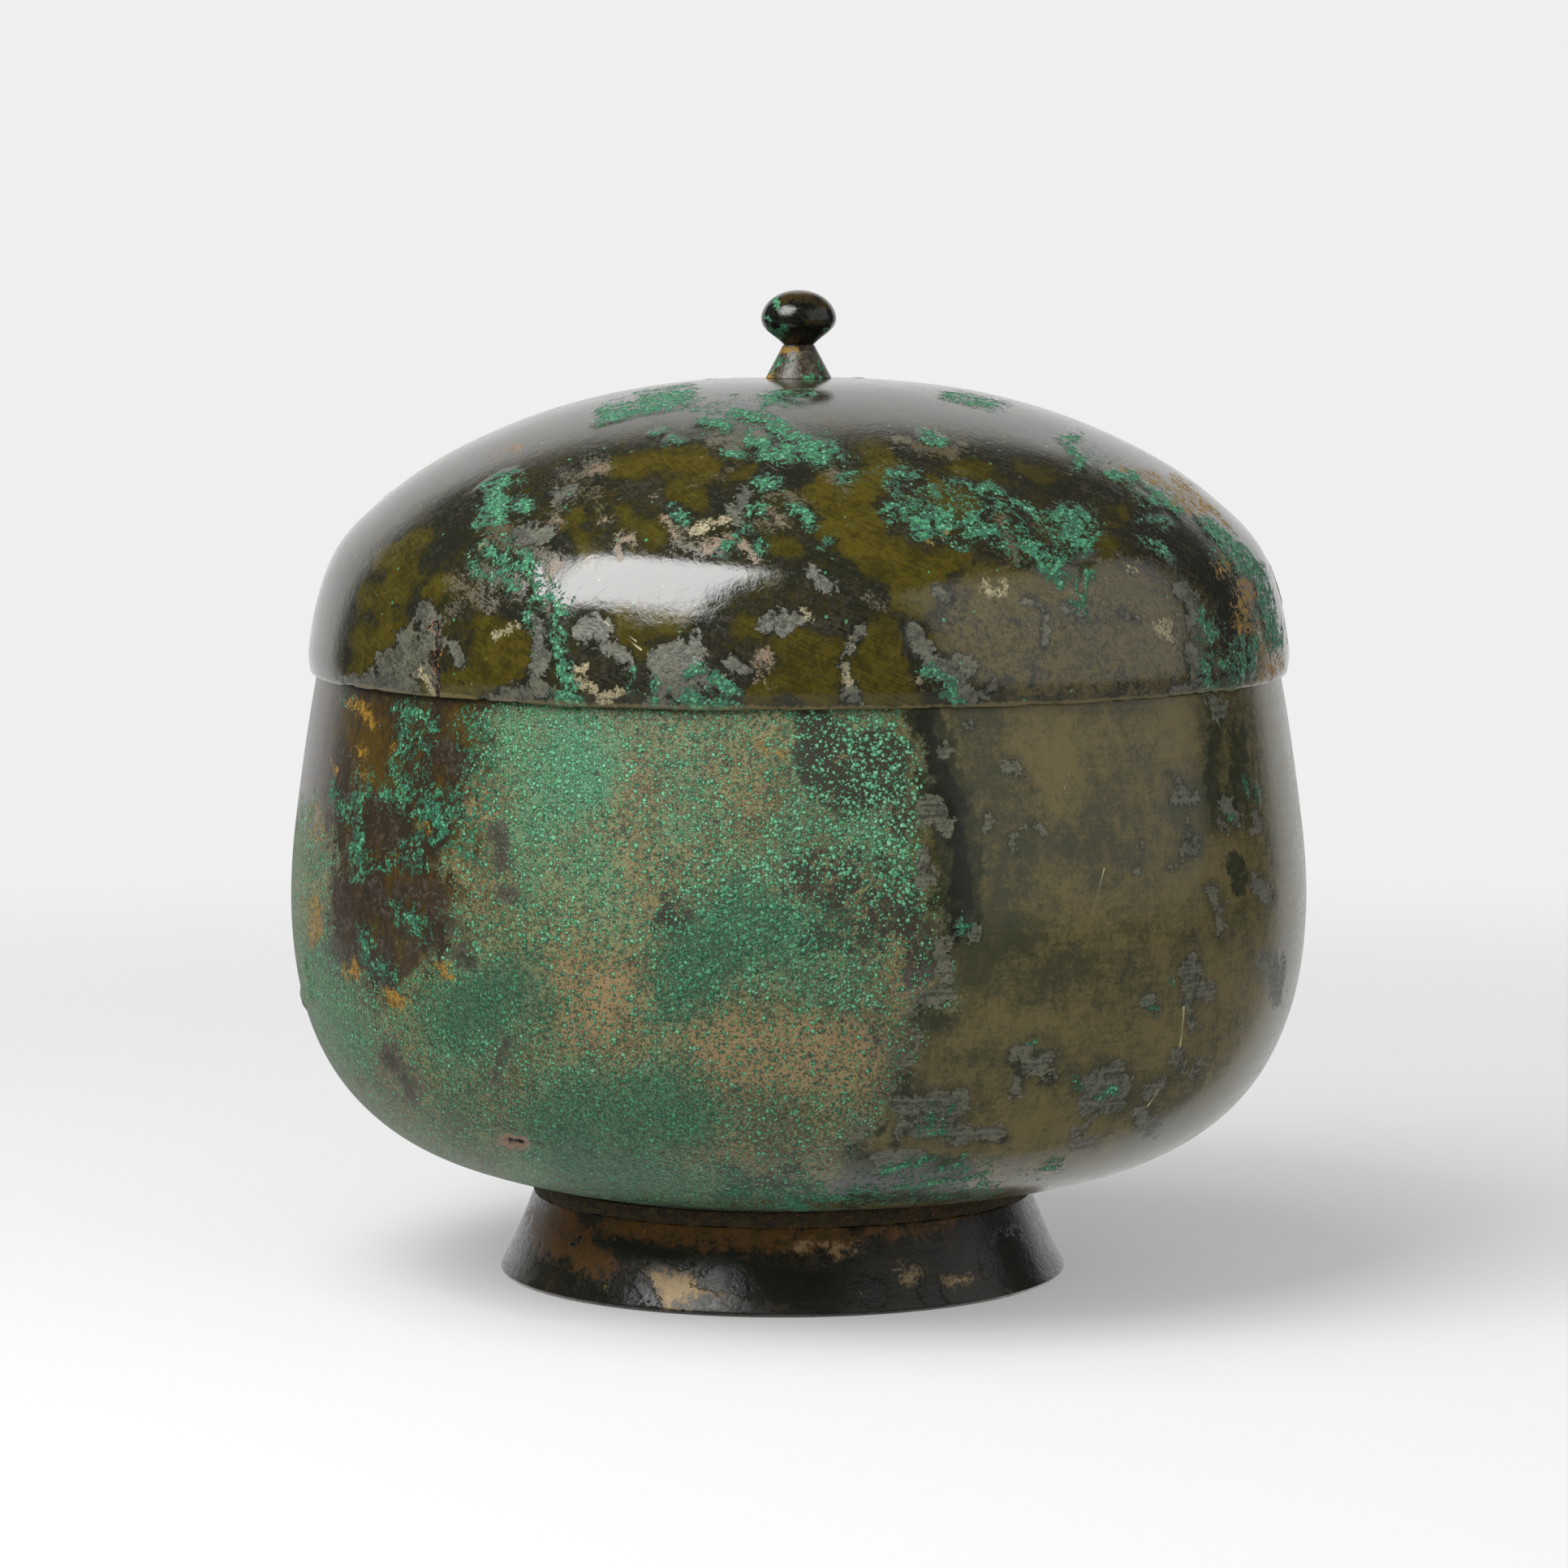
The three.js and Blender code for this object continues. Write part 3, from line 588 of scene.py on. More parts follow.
class Turned:
    """A turned piece as a grid: rows along its section and columns round its axis, in mm and radians."""

    def __init__(self, node, angles, outside_pitch, inside_pitch, turn):
        self.node = node
        chain, self.axis = section_of(node)
        line = fine_line(chain)
        step = np.diff(line, axis=0)
        length = np.hypot(*step.T)
        heading = np.unwrap(np.arctan2(step[:, 1], step[:, 0]))
        outside = np.arange(len(step)) < turn(line)
        weight = length / np.where(outside, outside_pitch, inside_pitch)
        weight += abs(np.gradient(heading)) * ROWS_PER_RADIAN
        travelled = np.concatenate(([0], np.cumsum(weight)))
        along = np.linspace(0, travelled[-1], round(travelled[-1]) + 1)
        count = np.arange(len(line))
        index = np.interp(along, travelled, count)
        self.radius, self.height = (np.interp(index, count, line[:, k]) for k in (0, 1))
        self.radius[self.radius < LINE_PITCH / 4] = 0
        tangent = np.column_stack([np.gradient(self.radius), np.gradient(self.height)])
        tangent /= np.hypot(*tangent.T)[:, None]
        self.normal = np.column_stack([tangent[:, 1], -tangent[:, 0]])
        self.outside = index < turn(line)
        self.travel = np.interp(index, count, np.concatenate(([0], np.cumsum(length))))
        self.angles = np.tile(angles, (len(self.radius), 1))
        self.relief = np.zeros_like(self.angles)
        self.drop = np.zeros_like(self.angles)
        self.seen = None
        self.fields = {}
        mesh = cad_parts[node].data
        self.surface = BVHTree.FromPolygons(
            [vertex.co for vertex in mesh.vertices], [face.vertices for face in mesh.polygons]
        )

    def places(self):
        """Every grid point in mm, with the relief that it has by now."""
        radius = self.radius[:, None] + self.relief * self.normal[:, :1]
        height = self.height[:, None] + self.relief * self.normal[:, 1:] + self.drop
        x = self.axis + radius * np.sin(self.angles)
        y = -radius * np.cos(self.angles)
        return np.stack([x, y, height], axis=-1)

    def spot(self, x, y):
        """The place in mm that a pixel of the photograph shows, or the nearest one to its line of sight."""
        half = PHOTO_SIDE / 2
        aside, up = (x - half) / FOCAL_PIXELS, (half - y) / FOCAL_PIXELS
        sight = LOOK + Vector((1, 0, 0)) * aside + LOOK_UP * up
        hit = self.surface.ray_cast(EYE, sight.normalized())[0]
        if hit is None:
            hit = self.surface.find_nearest(EYE + sight * (-EYE.y / sight.y))[0]
        return np.array(hit) / MM

    def pixels(self):
        """Where the photograph shows each grid point, moved about by seeded noise so that edges wander."""
        if self.seen is None:
            noise.seed_set(WANDER_SEED)
            places = self.places()
            wander = np.zeros_like(places)
            for size, reach, seed in WANDER:
                shift = WANDER_SHIFT * seed
                moved = [noise.noise_vector(Vector(place) + shift) for place in places.reshape(-1, 3) / size]
                wander += reach * np.array(moved).reshape(places.shape)
            sight = (places + wander) * MM - np.array(EYE)
            scale = FOCAL_PIXELS / (sight @ np.array(LOOK))
            across, up = sight[..., 0] * scale, sight @ np.array(LOOK_UP) * scale
            self.seen = np.stack([PHOTO_SIDE / 2 + across, PHOTO_SIDE / 2 - up], axis=-1)
        return self.seen

    def depth(self, strokes):
        """How far inside drawn strokes each grid point lies, in mm of the photograph."""
        pixels = self.pixels()
        depth = np.full(self.relief.shape, -FIELD_LIMIT)
        for half_width, *path in strokes:
            for start, stop in zip(path, path[1:]):
                depth = np.maximum(depth, (half_width - distance(pixels, start, stop)) * PIXEL_MM)
        return np.minimum(depth, FIELD_LIMIT)

    def wash(self, strokes):
        """The strengths of drawn strokes at each grid point, fading out across their edges."""
        pixels = self.pixels()
        total = np.zeros(self.relief.shape)
        for strength, half_width, *path in strokes:
            gap = np.full(total.shape, np.inf)
            for start, stop in zip(path, path[1:]):
                gap = np.minimum(gap, distance(pixels, start, stop))
            total += strength * (1 - smooth(gap, WASH_CORE * half_width, WASH_REACH * half_width))
        return total

    def zone_depth(self, outline):
        """How far inside a drawn outline each grid point lies, in mm of the photograph."""
        pixels = self.pixels()
        x, y = pixels[..., 0], pixels[..., 1]
        inside = np.zeros(x.shape, bool)
        gap = np.full(x.shape, FIELD_LIMIT)
        for start, stop in zip(outline, outline[1:] + outline[:1]):
            rise = stop[1] - start[1]
            if rise:
                crossing = start[0] + (y - start[1]) / rise * (stop[0] - start[0])
                inside ^= ((start[1] > y) != (stop[1] > y)) & (x < crossing)
            gap = np.minimum(gap, distance(pixels, start, stop) * PIXEL_MM)
        return np.where(inside, gap, -gap)

    def cloud(self, size, seed, octaves=4, where=None):
        """Soft seeded noise at each grid point, from about -1 to 1, with features of a size in mm."""
        shift = CLOUD_SHIFT * seed
        values = np.zeros(self.relief.shape)
        where = np.ones_like(values, bool) if where is None else where
        places = self.places()[where] / size
        values[where] = [noise.fractal(Vector(place) + shift, 1.0, 2.0, octaves) for place in places]
        return values

    def keep(self, name, front, mean, spread, seed, size=18.0):
        """Keeps a field: as drawn in front, and elsewhere noise of a mean, spread, seed and size in mm."""
        side = smooth(abs(self.angles), FRONT_ANGLE, BACK_ANGLE)
        side = np.where(self.outside[:, None], side, 1.0)
        elsewhere = mean + spread * self.cloud(size, seed, where=side > 0)
        self.fields[name] = front * (1 - side) + elsewhere * side

    def make(self, name, body, material):
        """Builds the mesh object with its fields and its map, and lets it stand for its CAD node."""
        places = self.places()
        rows, columns = self.relief.shape
        used = rows - 1 if np.allclose(places[0], places[-1]) else rows
        index = np.arange(used * columns).reshape(used, columns)
        for row in (0, used - 1):
            if self.radius[row] == 0:
                index[row] = index[row, 0]
        low, left = (grid.ravel() for grid in np.indices((rows - 1, columns)))
        high, right = (low + 1) % used, (left + 1) % columns
        corners = index[[low, low, high, high], [left, right, right, left]].T
        keep = np.ones(corners.shape, bool)
        keep[:, 1] = corners[:, 1] != corners[:, 0]
        keep[:, 3] = corners[:, 3] != corners[:, 2]
        kept, faces = np.unique(corners[keep], return_inverse=True)
        sides = keep.sum(axis=1)
        faces = np.split(faces, np.cumsum(sides)[:-1])
        mesh = bpy.data.meshes.new(name)
        mesh.from_pydata((places.reshape(-1, 3)[kept] * MM).tolist(), [], [face.tolist() for face in faces])
        mesh.shade_smooth()
        around = np.stack([left, left + 1, left + 1, left], axis=1) / columns
        share = self.travel / self.travel[-1]
        upward = np.stack([share[low], share[low], share[low + 1], share[low + 1]], axis=1)
        layer = mesh.uv_layers.new(name="OFBake")
        layer.uv.foreach_set("vector", np.stack([around[keep], upward[keep]], axis=1).ravel())
        for field, values in self.fields.items():
            store = mesh.attributes.new(field, "FLOAT", "POINT")
            store.data.foreach_set("value", values.ravel()[kept])
        mesh.materials.append(material)
        piece = bpy.data.objects.new(name, mesh)
        bpy.context.scene.collection.objects.link(piece)
        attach(piece, body)
        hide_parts(self.node)
        return piece


def distance(places, start, stop):
    """Distance of each place from a straight line between two points."""
    start = np.array(start)
    along = np.array(stop) - start
    length = max(along @ along, 1e-9)
    share = np.clip((places - start) @ along / length, 0, 1)
    return np.linalg.norm(places - start - share[..., None] * along, axis=-1)


def smooth(values, low, high):
    """0 below low and 1 above high, with a soft step between them."""
    share = np.clip((values - low) / (high - low), 0, 1)
    return share * share * (3 - 2 * share)


# Finishes

class Nodes:
    """A node tree, with short calls that add nodes and give their output sockets."""

    def __init__(self, tree):
        self.tree = tree

    def add(self, kind, *values, **settings):
        """A node with settings, whose first inputs are linked to sockets or set to numbers."""
        node = self.tree.nodes.new(kind)
        for name, setting in settings.items():
            setattr(node, name, setting)
        for socket, value in zip(node.inputs, values):
            self.feed(socket, value)
        return node

    def feed(self, socket, value):
        """Links an input to a socket, or sets it to a number or a colour."""
        if isinstance(value, bpy.types.NodeSocket):
            self.tree.links.new(value, socket)
        elif socket.type == "RGBA":
            socket.default_value = (*value, 1.0)
        else:
            socket.default_value = value

    def math(self, operation, *values):
        return self.add("ShaderNodeMath", *values, operation=operation).outputs["Value"]

    def vector(self, operation, *values):
        return self.add("ShaderNodeVectorMath", *values, operation=operation).outputs["Vector"]

    def plus(self, first, *others):
        """The sum of values, where a pair (value, factor) counts by its factor."""
        total = first
        for other in others:
            if isinstance(other, tuple):
                total = self.math("MULTIPLY_ADD", other[0], other[1], total)
            else:
                total = self.math("ADD", total, other)
        return total

    def times(self, first, second):
        return self.math("MULTIPLY", first, second)

    def edge(self, value, low, high):
        """0 where the value is at low and 1 where it is at high, with a soft step between them."""
        node = self.add("ShaderNodeMapRange", value, low, high, interpolation_type="SMOOTHSTEP")
        return node.outputs["Result"]

    def blend(self, factor, below, above):
        """A colour between two."""
        node = self.add("ShaderNodeMix", data_type="RGBA")
        self.feed(node.inputs[0], factor)
        self.feed(node.inputs[6], below)
        self.feed(node.inputs[7], above)
        return node.outputs[2]

    def level(self, factor, below, above):
        """A number between two."""
        node = self.add("ShaderNodeMix", data_type="FLOAT")
        self.feed(node.inputs[0], factor)
        self.feed(node.inputs[2], below)
        self.feed(node.inputs[3], above)
        return node.outputs[0]


class Coat(Nodes):
    """A procedural finish of a piece, in which sizes are in mm."""

    def __init__(self, name):
        self.material = bpy.data.materials.new(name)
        self.material.use_nodes = True
        super().__init__(self.material.node_tree)
        self.shader = self.tree.nodes["Principled BSDF"]
        object_place = self.add("ShaderNodeTexCoord").outputs["Object"]
        self.place = self.vector("MULTIPLY", object_place, (1 / MM, 1 / MM, 1 / MM))
        self.colour = None
        self.roughness = None

    def field(self, name):
        """A field of the mesh: mm inside a patch, or the strength of a wash."""
        return self.add("ShaderNodeAttribute", attribute_name=name).outputs["Fac"]

    def wrapped(self, radius, rise):
        """Places wrapped on a cylinder, for noise that runs along or round the walls."""
        flat = self.vector("MULTIPLY", self.place, (1.0, 1.0, 0.0))
        ring = self.vector("MULTIPLY", self.vector("NORMALIZE", flat), (radius, radius, 0.0))
        return self.vector("MULTIPLY_ADD", self.place, (0.0, 0.0, rise), ring)

    def noise(self, size, detail=4.0, roughness=0.6, distortion=0.0, place=None):
        """Noise about 0, mostly between -1 and 1 and seldom beyond -2 and 2."""
        node = self.add("ShaderNodeTexNoise")
        self.feed(node.inputs["Vector"], place or self.place)
        self.feed(node.inputs["Scale"], 1 / size)
        self.feed(node.inputs["Detail"], detail)
        self.feed(node.inputs["Roughness"], roughness)
        self.feed(node.inputs["Distortion"], distortion)
        return self.math("MULTIPLY_ADD", node.outputs[0], NOISE_SPREAD, -NOISE_SPREAD / 2)

    def stirred(self, size, reach):
        """Places moved about by noise, so that cells get irregular."""
        node = self.add("ShaderNodeTexNoise")
        self.feed(node.inputs["Vector"], self.place)
        self.feed(node.inputs["Scale"], 1 / size)
        moved = self.vector("SUBTRACT", node.outputs["Color"], (0.5, 0.5, 0.5))
        return self.vector("MULTIPLY_ADD", moved, (reach, reach, reach), self.place)

    def unrolled(self, radius, tilt, length, width):
        """Places on the unrolled wall, tilted and scaled so that noise runs in short lines."""
        x, y, z = self.add("ShaderNodeSeparateXYZ", self.place).outputs
        around = self.times(self.math("ARCTAN2", x, y), radius)
        across, up = math.cos(tilt), math.sin(tilt)
        along = self.plus(self.times(around, across / length), (z, up / length))
        aside = self.plus(self.times(around, -up / width), (z, across / width))
        return self.add("ShaderNodeCombineXYZ", along, aside).outputs["Vector"]

    def cells(self, size, place=None):
        """Scattered cells: the distance from the middle of each, in cell widths, and two random numbers."""
        node = self.add("ShaderNodeTexVoronoi")
        self.feed(node.inputs["Vector"], place or self.place)
        self.feed(node.inputs["Scale"], 1 / size)
        shares = self.add("ShaderNodeSeparateColor", node.outputs["Color"]).outputs
        return node.outputs["Distance"], shares[0], shares[1]

    def grains(self, size, density, place):
        """Scattered grains: 1 at the middle of each, 0 at its edge, less outside, and a random number."""
        gap, share, kind = self.cells(size, place)
        radius = self.math("MULTIPLY_ADD", share, GRAIN_LARGEST - GRAIN_SMALLEST, GRAIN_SMALLEST)
        inside = self.math("SUBTRACT", 1.0, self.math("DIVIDE", gap, radius))
        missing = self.edge(self.math("SUBTRACT", kind, density), -0.02, 0.02)
        return self.plus(inside, (missing, GRAIN_ABSENT)), share

    def patch(self, name, *ragged, low=-0.15, high=0.15):
        """1 inside a field's patches and 0 outside, with a soft step that noises make ragged."""
        return self.edge(self.plus(self.field(name), *ragged), low, high)

    def mixed(self, value, low, high, below, above):
        """A colour that goes from one to another as a value goes from low to high."""
        return self.blend(self.edge(value, low, high), below, above)

    def lay(self, mask, colour, roughness=None, cover=1.0):
        """Lays a finish over the ones that are there, where a mask is 1 and as far as it covers them."""
        share = mask if cover == 1.0 else self.times(mask, cover)
        self.colour = self.blend(share, self.colour, colour)
        if roughness is not None:
            self.roughness = self.level(mask, self.roughness, roughness)

    def crusted(self, lace, grit):
        """1 on green crust and 0 elsewhere: dense in the crust's patches and a net in the lacy zones."""
        net = self.math("ABSOLUTE", self.noise(2.4, 3.0, distortion=0.6))
        lacy = self.math("MULTIPLY_ADD", self.field("lacy"), 1.6, -1.9)
        dense = self.math("MAXIMUM", self.math("MINIMUM", self.field("crust"), 0.7), lacy)
        return self.edge(self.plus(dense, 0.5, (net, -0.9), (lace, 0.6), (grit, 0.4)), 0.0, 0.4)

    def scratches(self, piece, marks):
        """1 along straight scratches between pixels of the photograph, else 0."""
        total = None
        for half_width, start, stop in marks:
            start, stop = (Vector(piece.spot(*pixel)) for pixel in (start, stop))
            along = stop - start
            offset = self.vector("SUBTRACT", self.place, start)
            dot = self.add("ShaderNodeVectorMath", offset, along, operation="DOT_PRODUCT").outputs["Value"]
            share = self.add("ShaderNodeMath", dot, 1 / along.length_squared, operation="MULTIPLY")
            share.use_clamp = True
            nearest = self.add("ShaderNodeVectorMath", along, operation="SCALE")
            self.feed(nearest.inputs["Scale"], share.outputs["Value"])
            away = self.add("ShaderNodeVectorMath", offset, nearest.outputs["Vector"], operation="DISTANCE")
            mark = self.edge(away.outputs["Value"], half_width * MARK_REACH, half_width * MARK_CORE)
            total = mark if total is None else self.math("MAXIMUM", total, mark)
        return total

    def finish(self, height, ior, metal=0.0):
        """Sets the shader from what was laid, with a height in mm, and gives the material."""
        self.feed(self.shader.inputs["Base Color"], self.colour)
        self.feed(self.shader.inputs["Roughness"], self.roughness)
        self.feed(self.shader.inputs["Metallic"], metal)
        self.shader.inputs["IOR"].default_value = ior
        bump = self.add("ShaderNodeBump")
        bump.inputs["Strength"].default_value = 1.0
        bump.inputs["Distance"].default_value = MM
        self.feed(bump.inputs["Height"], height)
        self.feed(self.shader.inputs["Normal"], bump.outputs["Normal"])
        return self.material


def lay_crust(coat, colours, mid, lace, grit):
    """Lays green crust of packed grains, deep green between them and a painted highlight on the tip of a
    few, and gives its height.
    """
    crust = coat.crusted(lace, grit)
    gap, share, kind = coat.cells(0.62, coat.stirred(0.5, 0.5))
    packed = coat.edge(coat.plus(gap, (mid, -0.12), (grit, 0.1)), 0.75, 0.3)
    body = coat.blend(packed, colours.deep_green, coat.mixed(kind, 0.5, 1.0, colours.mint, colours.teal))
    # Painted highlight on the tip of some cells
    highlight_tips = coat.times(coat.edge(gap, 0.4, 0.15), coat.edge(share, 0.5, 0.8))
    coat.lay(crust, coat.blend(highlight_tips, body, colours.tip_highlight), 0.8)
    return coat.times(crust, coat.plus(0.06, (packed, 0.14), (lace, 0.03)))


def lid_finish(lid, colours):
    """Glossy black and olive patina with grey losses, green crust, a crack and fine scratches."""
    coat = Coat("lid patina")
    broad = coat.noise(9.0, 6.0, distortion=1.0)
    mid = coat.noise(2.6, 6.0, 0.65, distortion=0.8)
    fine = coat.noise(0.8)
    grit = coat.noise(0.36, 2.0)
    lace = coat.noise(1.5, 6.0, 0.72, distortion=1.2)
    mottle = coat.noise(1.8, 6.0, 0.7, distortion=2.0)
    lines = coat.noise(1.0, 2.0, place=coat.unrolled(LINES_RADIUS, math.radians(24), 7.0, 0.35))
    cross_lines = coat.noise(1.0, 2.0, place=coat.unrolled(LINES_RADIUS, math.radians(-38), 6.0, 0.3))

    # Olive patches among black ones, with borders that are partly crisp and partly faded
    balance = coat.plus(coat.field("tone"), -0.05, (broad, 0.35), (mid, 0.55), (lace, 0.45))
    balance = coat.plus(balance, (fine, 0.25), (lines, 0.2))
    streaky = coat.plus(mid, (fine, 0.6), (lines, 0.6), (broad, 0.5))
    olive = coat.mixed(streaky, -1.8, 1.8, colours.olive_gloss, colours.olive_dark)
    thin = coat.plus(mottle, (lines, 0.4), coat.field("thin"), (fine, 0.3))
    black = coat.mixed(thin, -0.4, 1.8, colours.black_gloss, colours.grey_brown)
    outline = coat.times(coat.edge(balance, -0.9, -0.3), 0.7)
    black = coat.blend(outline, black, colours.black_gloss)
    crisp = coat.edge(balance, -0.2, 0.2)
    faded = coat.edge(balance, -1.4, 1.4)
    coat.colour = coat.blend(coat.plus(coat.times(crisp, 0.35), (faded, 0.65)), black, olive)
    coat.roughness = coat.level(coat.edge(coat.plus(mottle, (broad, 0.6)), -0.5, 2.5), 0.09, 0.22)

    # Dull, hazy and rusty stains, then tan and grey losses
    dull = coat.patch("dull", (mid, 0.9), (fine, 0.6), low=-3.0, high=2.5)
    satin = coat.mixed(coat.plus(mid, fine, grit), -2.0, 1.6, colours.dark_olive, colours.satin_brown)
    coat.lay(dull, satin, 0.24, cover=0.65)
    hazy = coat.plus(coat.times(coat.field("haze"), 0.8), (mottle, 0.8), (lines, 0.3), (grit, 0.4))
    haze = coat.edge(hazy, 0.1, 1.8)
    coat.lay(haze, colours.haze, 0.36, cover=0.75)
    rust = coat.patch("rust", lace, (fine, 0.4), low=0.0, high=1.4)
    coat.lay(rust, colours.rust, 0.4, cover=0.8)
    tan = coat.patch("tan", (mid, 0.4), (lace, 0.6), (grit, 0.3), low=0.0, high=1.0)
    coat.lay(tan, coat.mixed(fine, -1.2, 1.2, colours.haze, colours.pink_tan), 0.5)
    rim = coat.patch("grey", 0.4, (mid, 0.5), (fine, 0.2), low=-0.35, high=0.35)
    coat.lay(rim, colours.black_gloss, cover=0.85)
    grey = coat.patch("grey", -0.1, (mid, 0.55), (lace, 0.25), (fine, 0.3), low=-0.2, high=0.2)
    worn = coat.plus(mid, fine, grit, (lines, 0.6), (broad, 0.8))
    coat.lay(grey, coat.mixed(worn, -2.2, 2.8, colours.dark_grey, colours.grey_loss), 0.42)

    # Cream, ochre and green crusts, and scattered specks
    cream = coat.patch("cream", (fine, 0.35), (lace, 0.4), low=-0.3, high=0.3)
    coat.lay(cream, coat.mixed(grit, -1.2, 1.2, colours.haze, colours.cream), 0.5)
    clipped = coat.math("MINIMUM", coat.field("ochre"), 0.5)
    ochre = coat.edge(coat.plus(clipped, (lace, 0.9), (fine, 0.4), (grit, 0.3)), -0.1, 0.9)
    coat.lay(ochre, coat.mixed(fine, -2.2, 1.0, colours.rust, colours.ochre), 0.75)
    height = lay_crust(coat, colours, mid, lace, grit)
    gap, share, kind = coat.cells(2.4, coat.stirred(0.6, 0.6))
    specks = coat.times(coat.edge(gap, 0.14, 0.07), coat.edge(share, 0.5, 0.52))
    coat.lay(specks, coat.blend(kind, colours.haze, colours.mint))

    # Scratches, the bare lower edge and the crack, with painted shade inside it
    marks = coat.scratches(lid, LID_SCRATCHES)
    fine_marks = coat.edge(coat.math("MAXIMUM", lines, cross_lines), 1.8, 2.3)
    coat.lay(fine_marks, colours.haze, cover=0.6)
    coat.lay(marks, colours.pale_metal)
    above = coat.add("ShaderNodeSeparateXYZ", coat.place).outputs["Z"]
    bare_edge = coat.edge(coat.plus(above, (fine, 0.15), (broad, 0.2)), LID_EDGE + 0.8, LID_EDGE + 0.4)
    coat.lay(bare_edge, colours.bare_tan, cover=0.4)
    slit = coat.patch("crack", (fine, 0.12))
    flecks = coat.times(coat.patch("crack", 0.3, (fine, 0.3)), coat.edge(grit, 0.0, 1.0))
    coat.lay(flecks, colours.copper)
    # Painted shade inside the crack
    coat.lay(slit, colours.crack_painted_shade)
    height = coat.plus(height, (grey, -0.05), (slit, -0.3), (marks, -0.03), (fine_marks, -0.006))
    height = coat.plus(height, (coat.times(grey, fine), 0.014), (haze, 0.012), (mid, 0.004), (fine, 0.002))
    return coat.finish(height, ior=1.8)


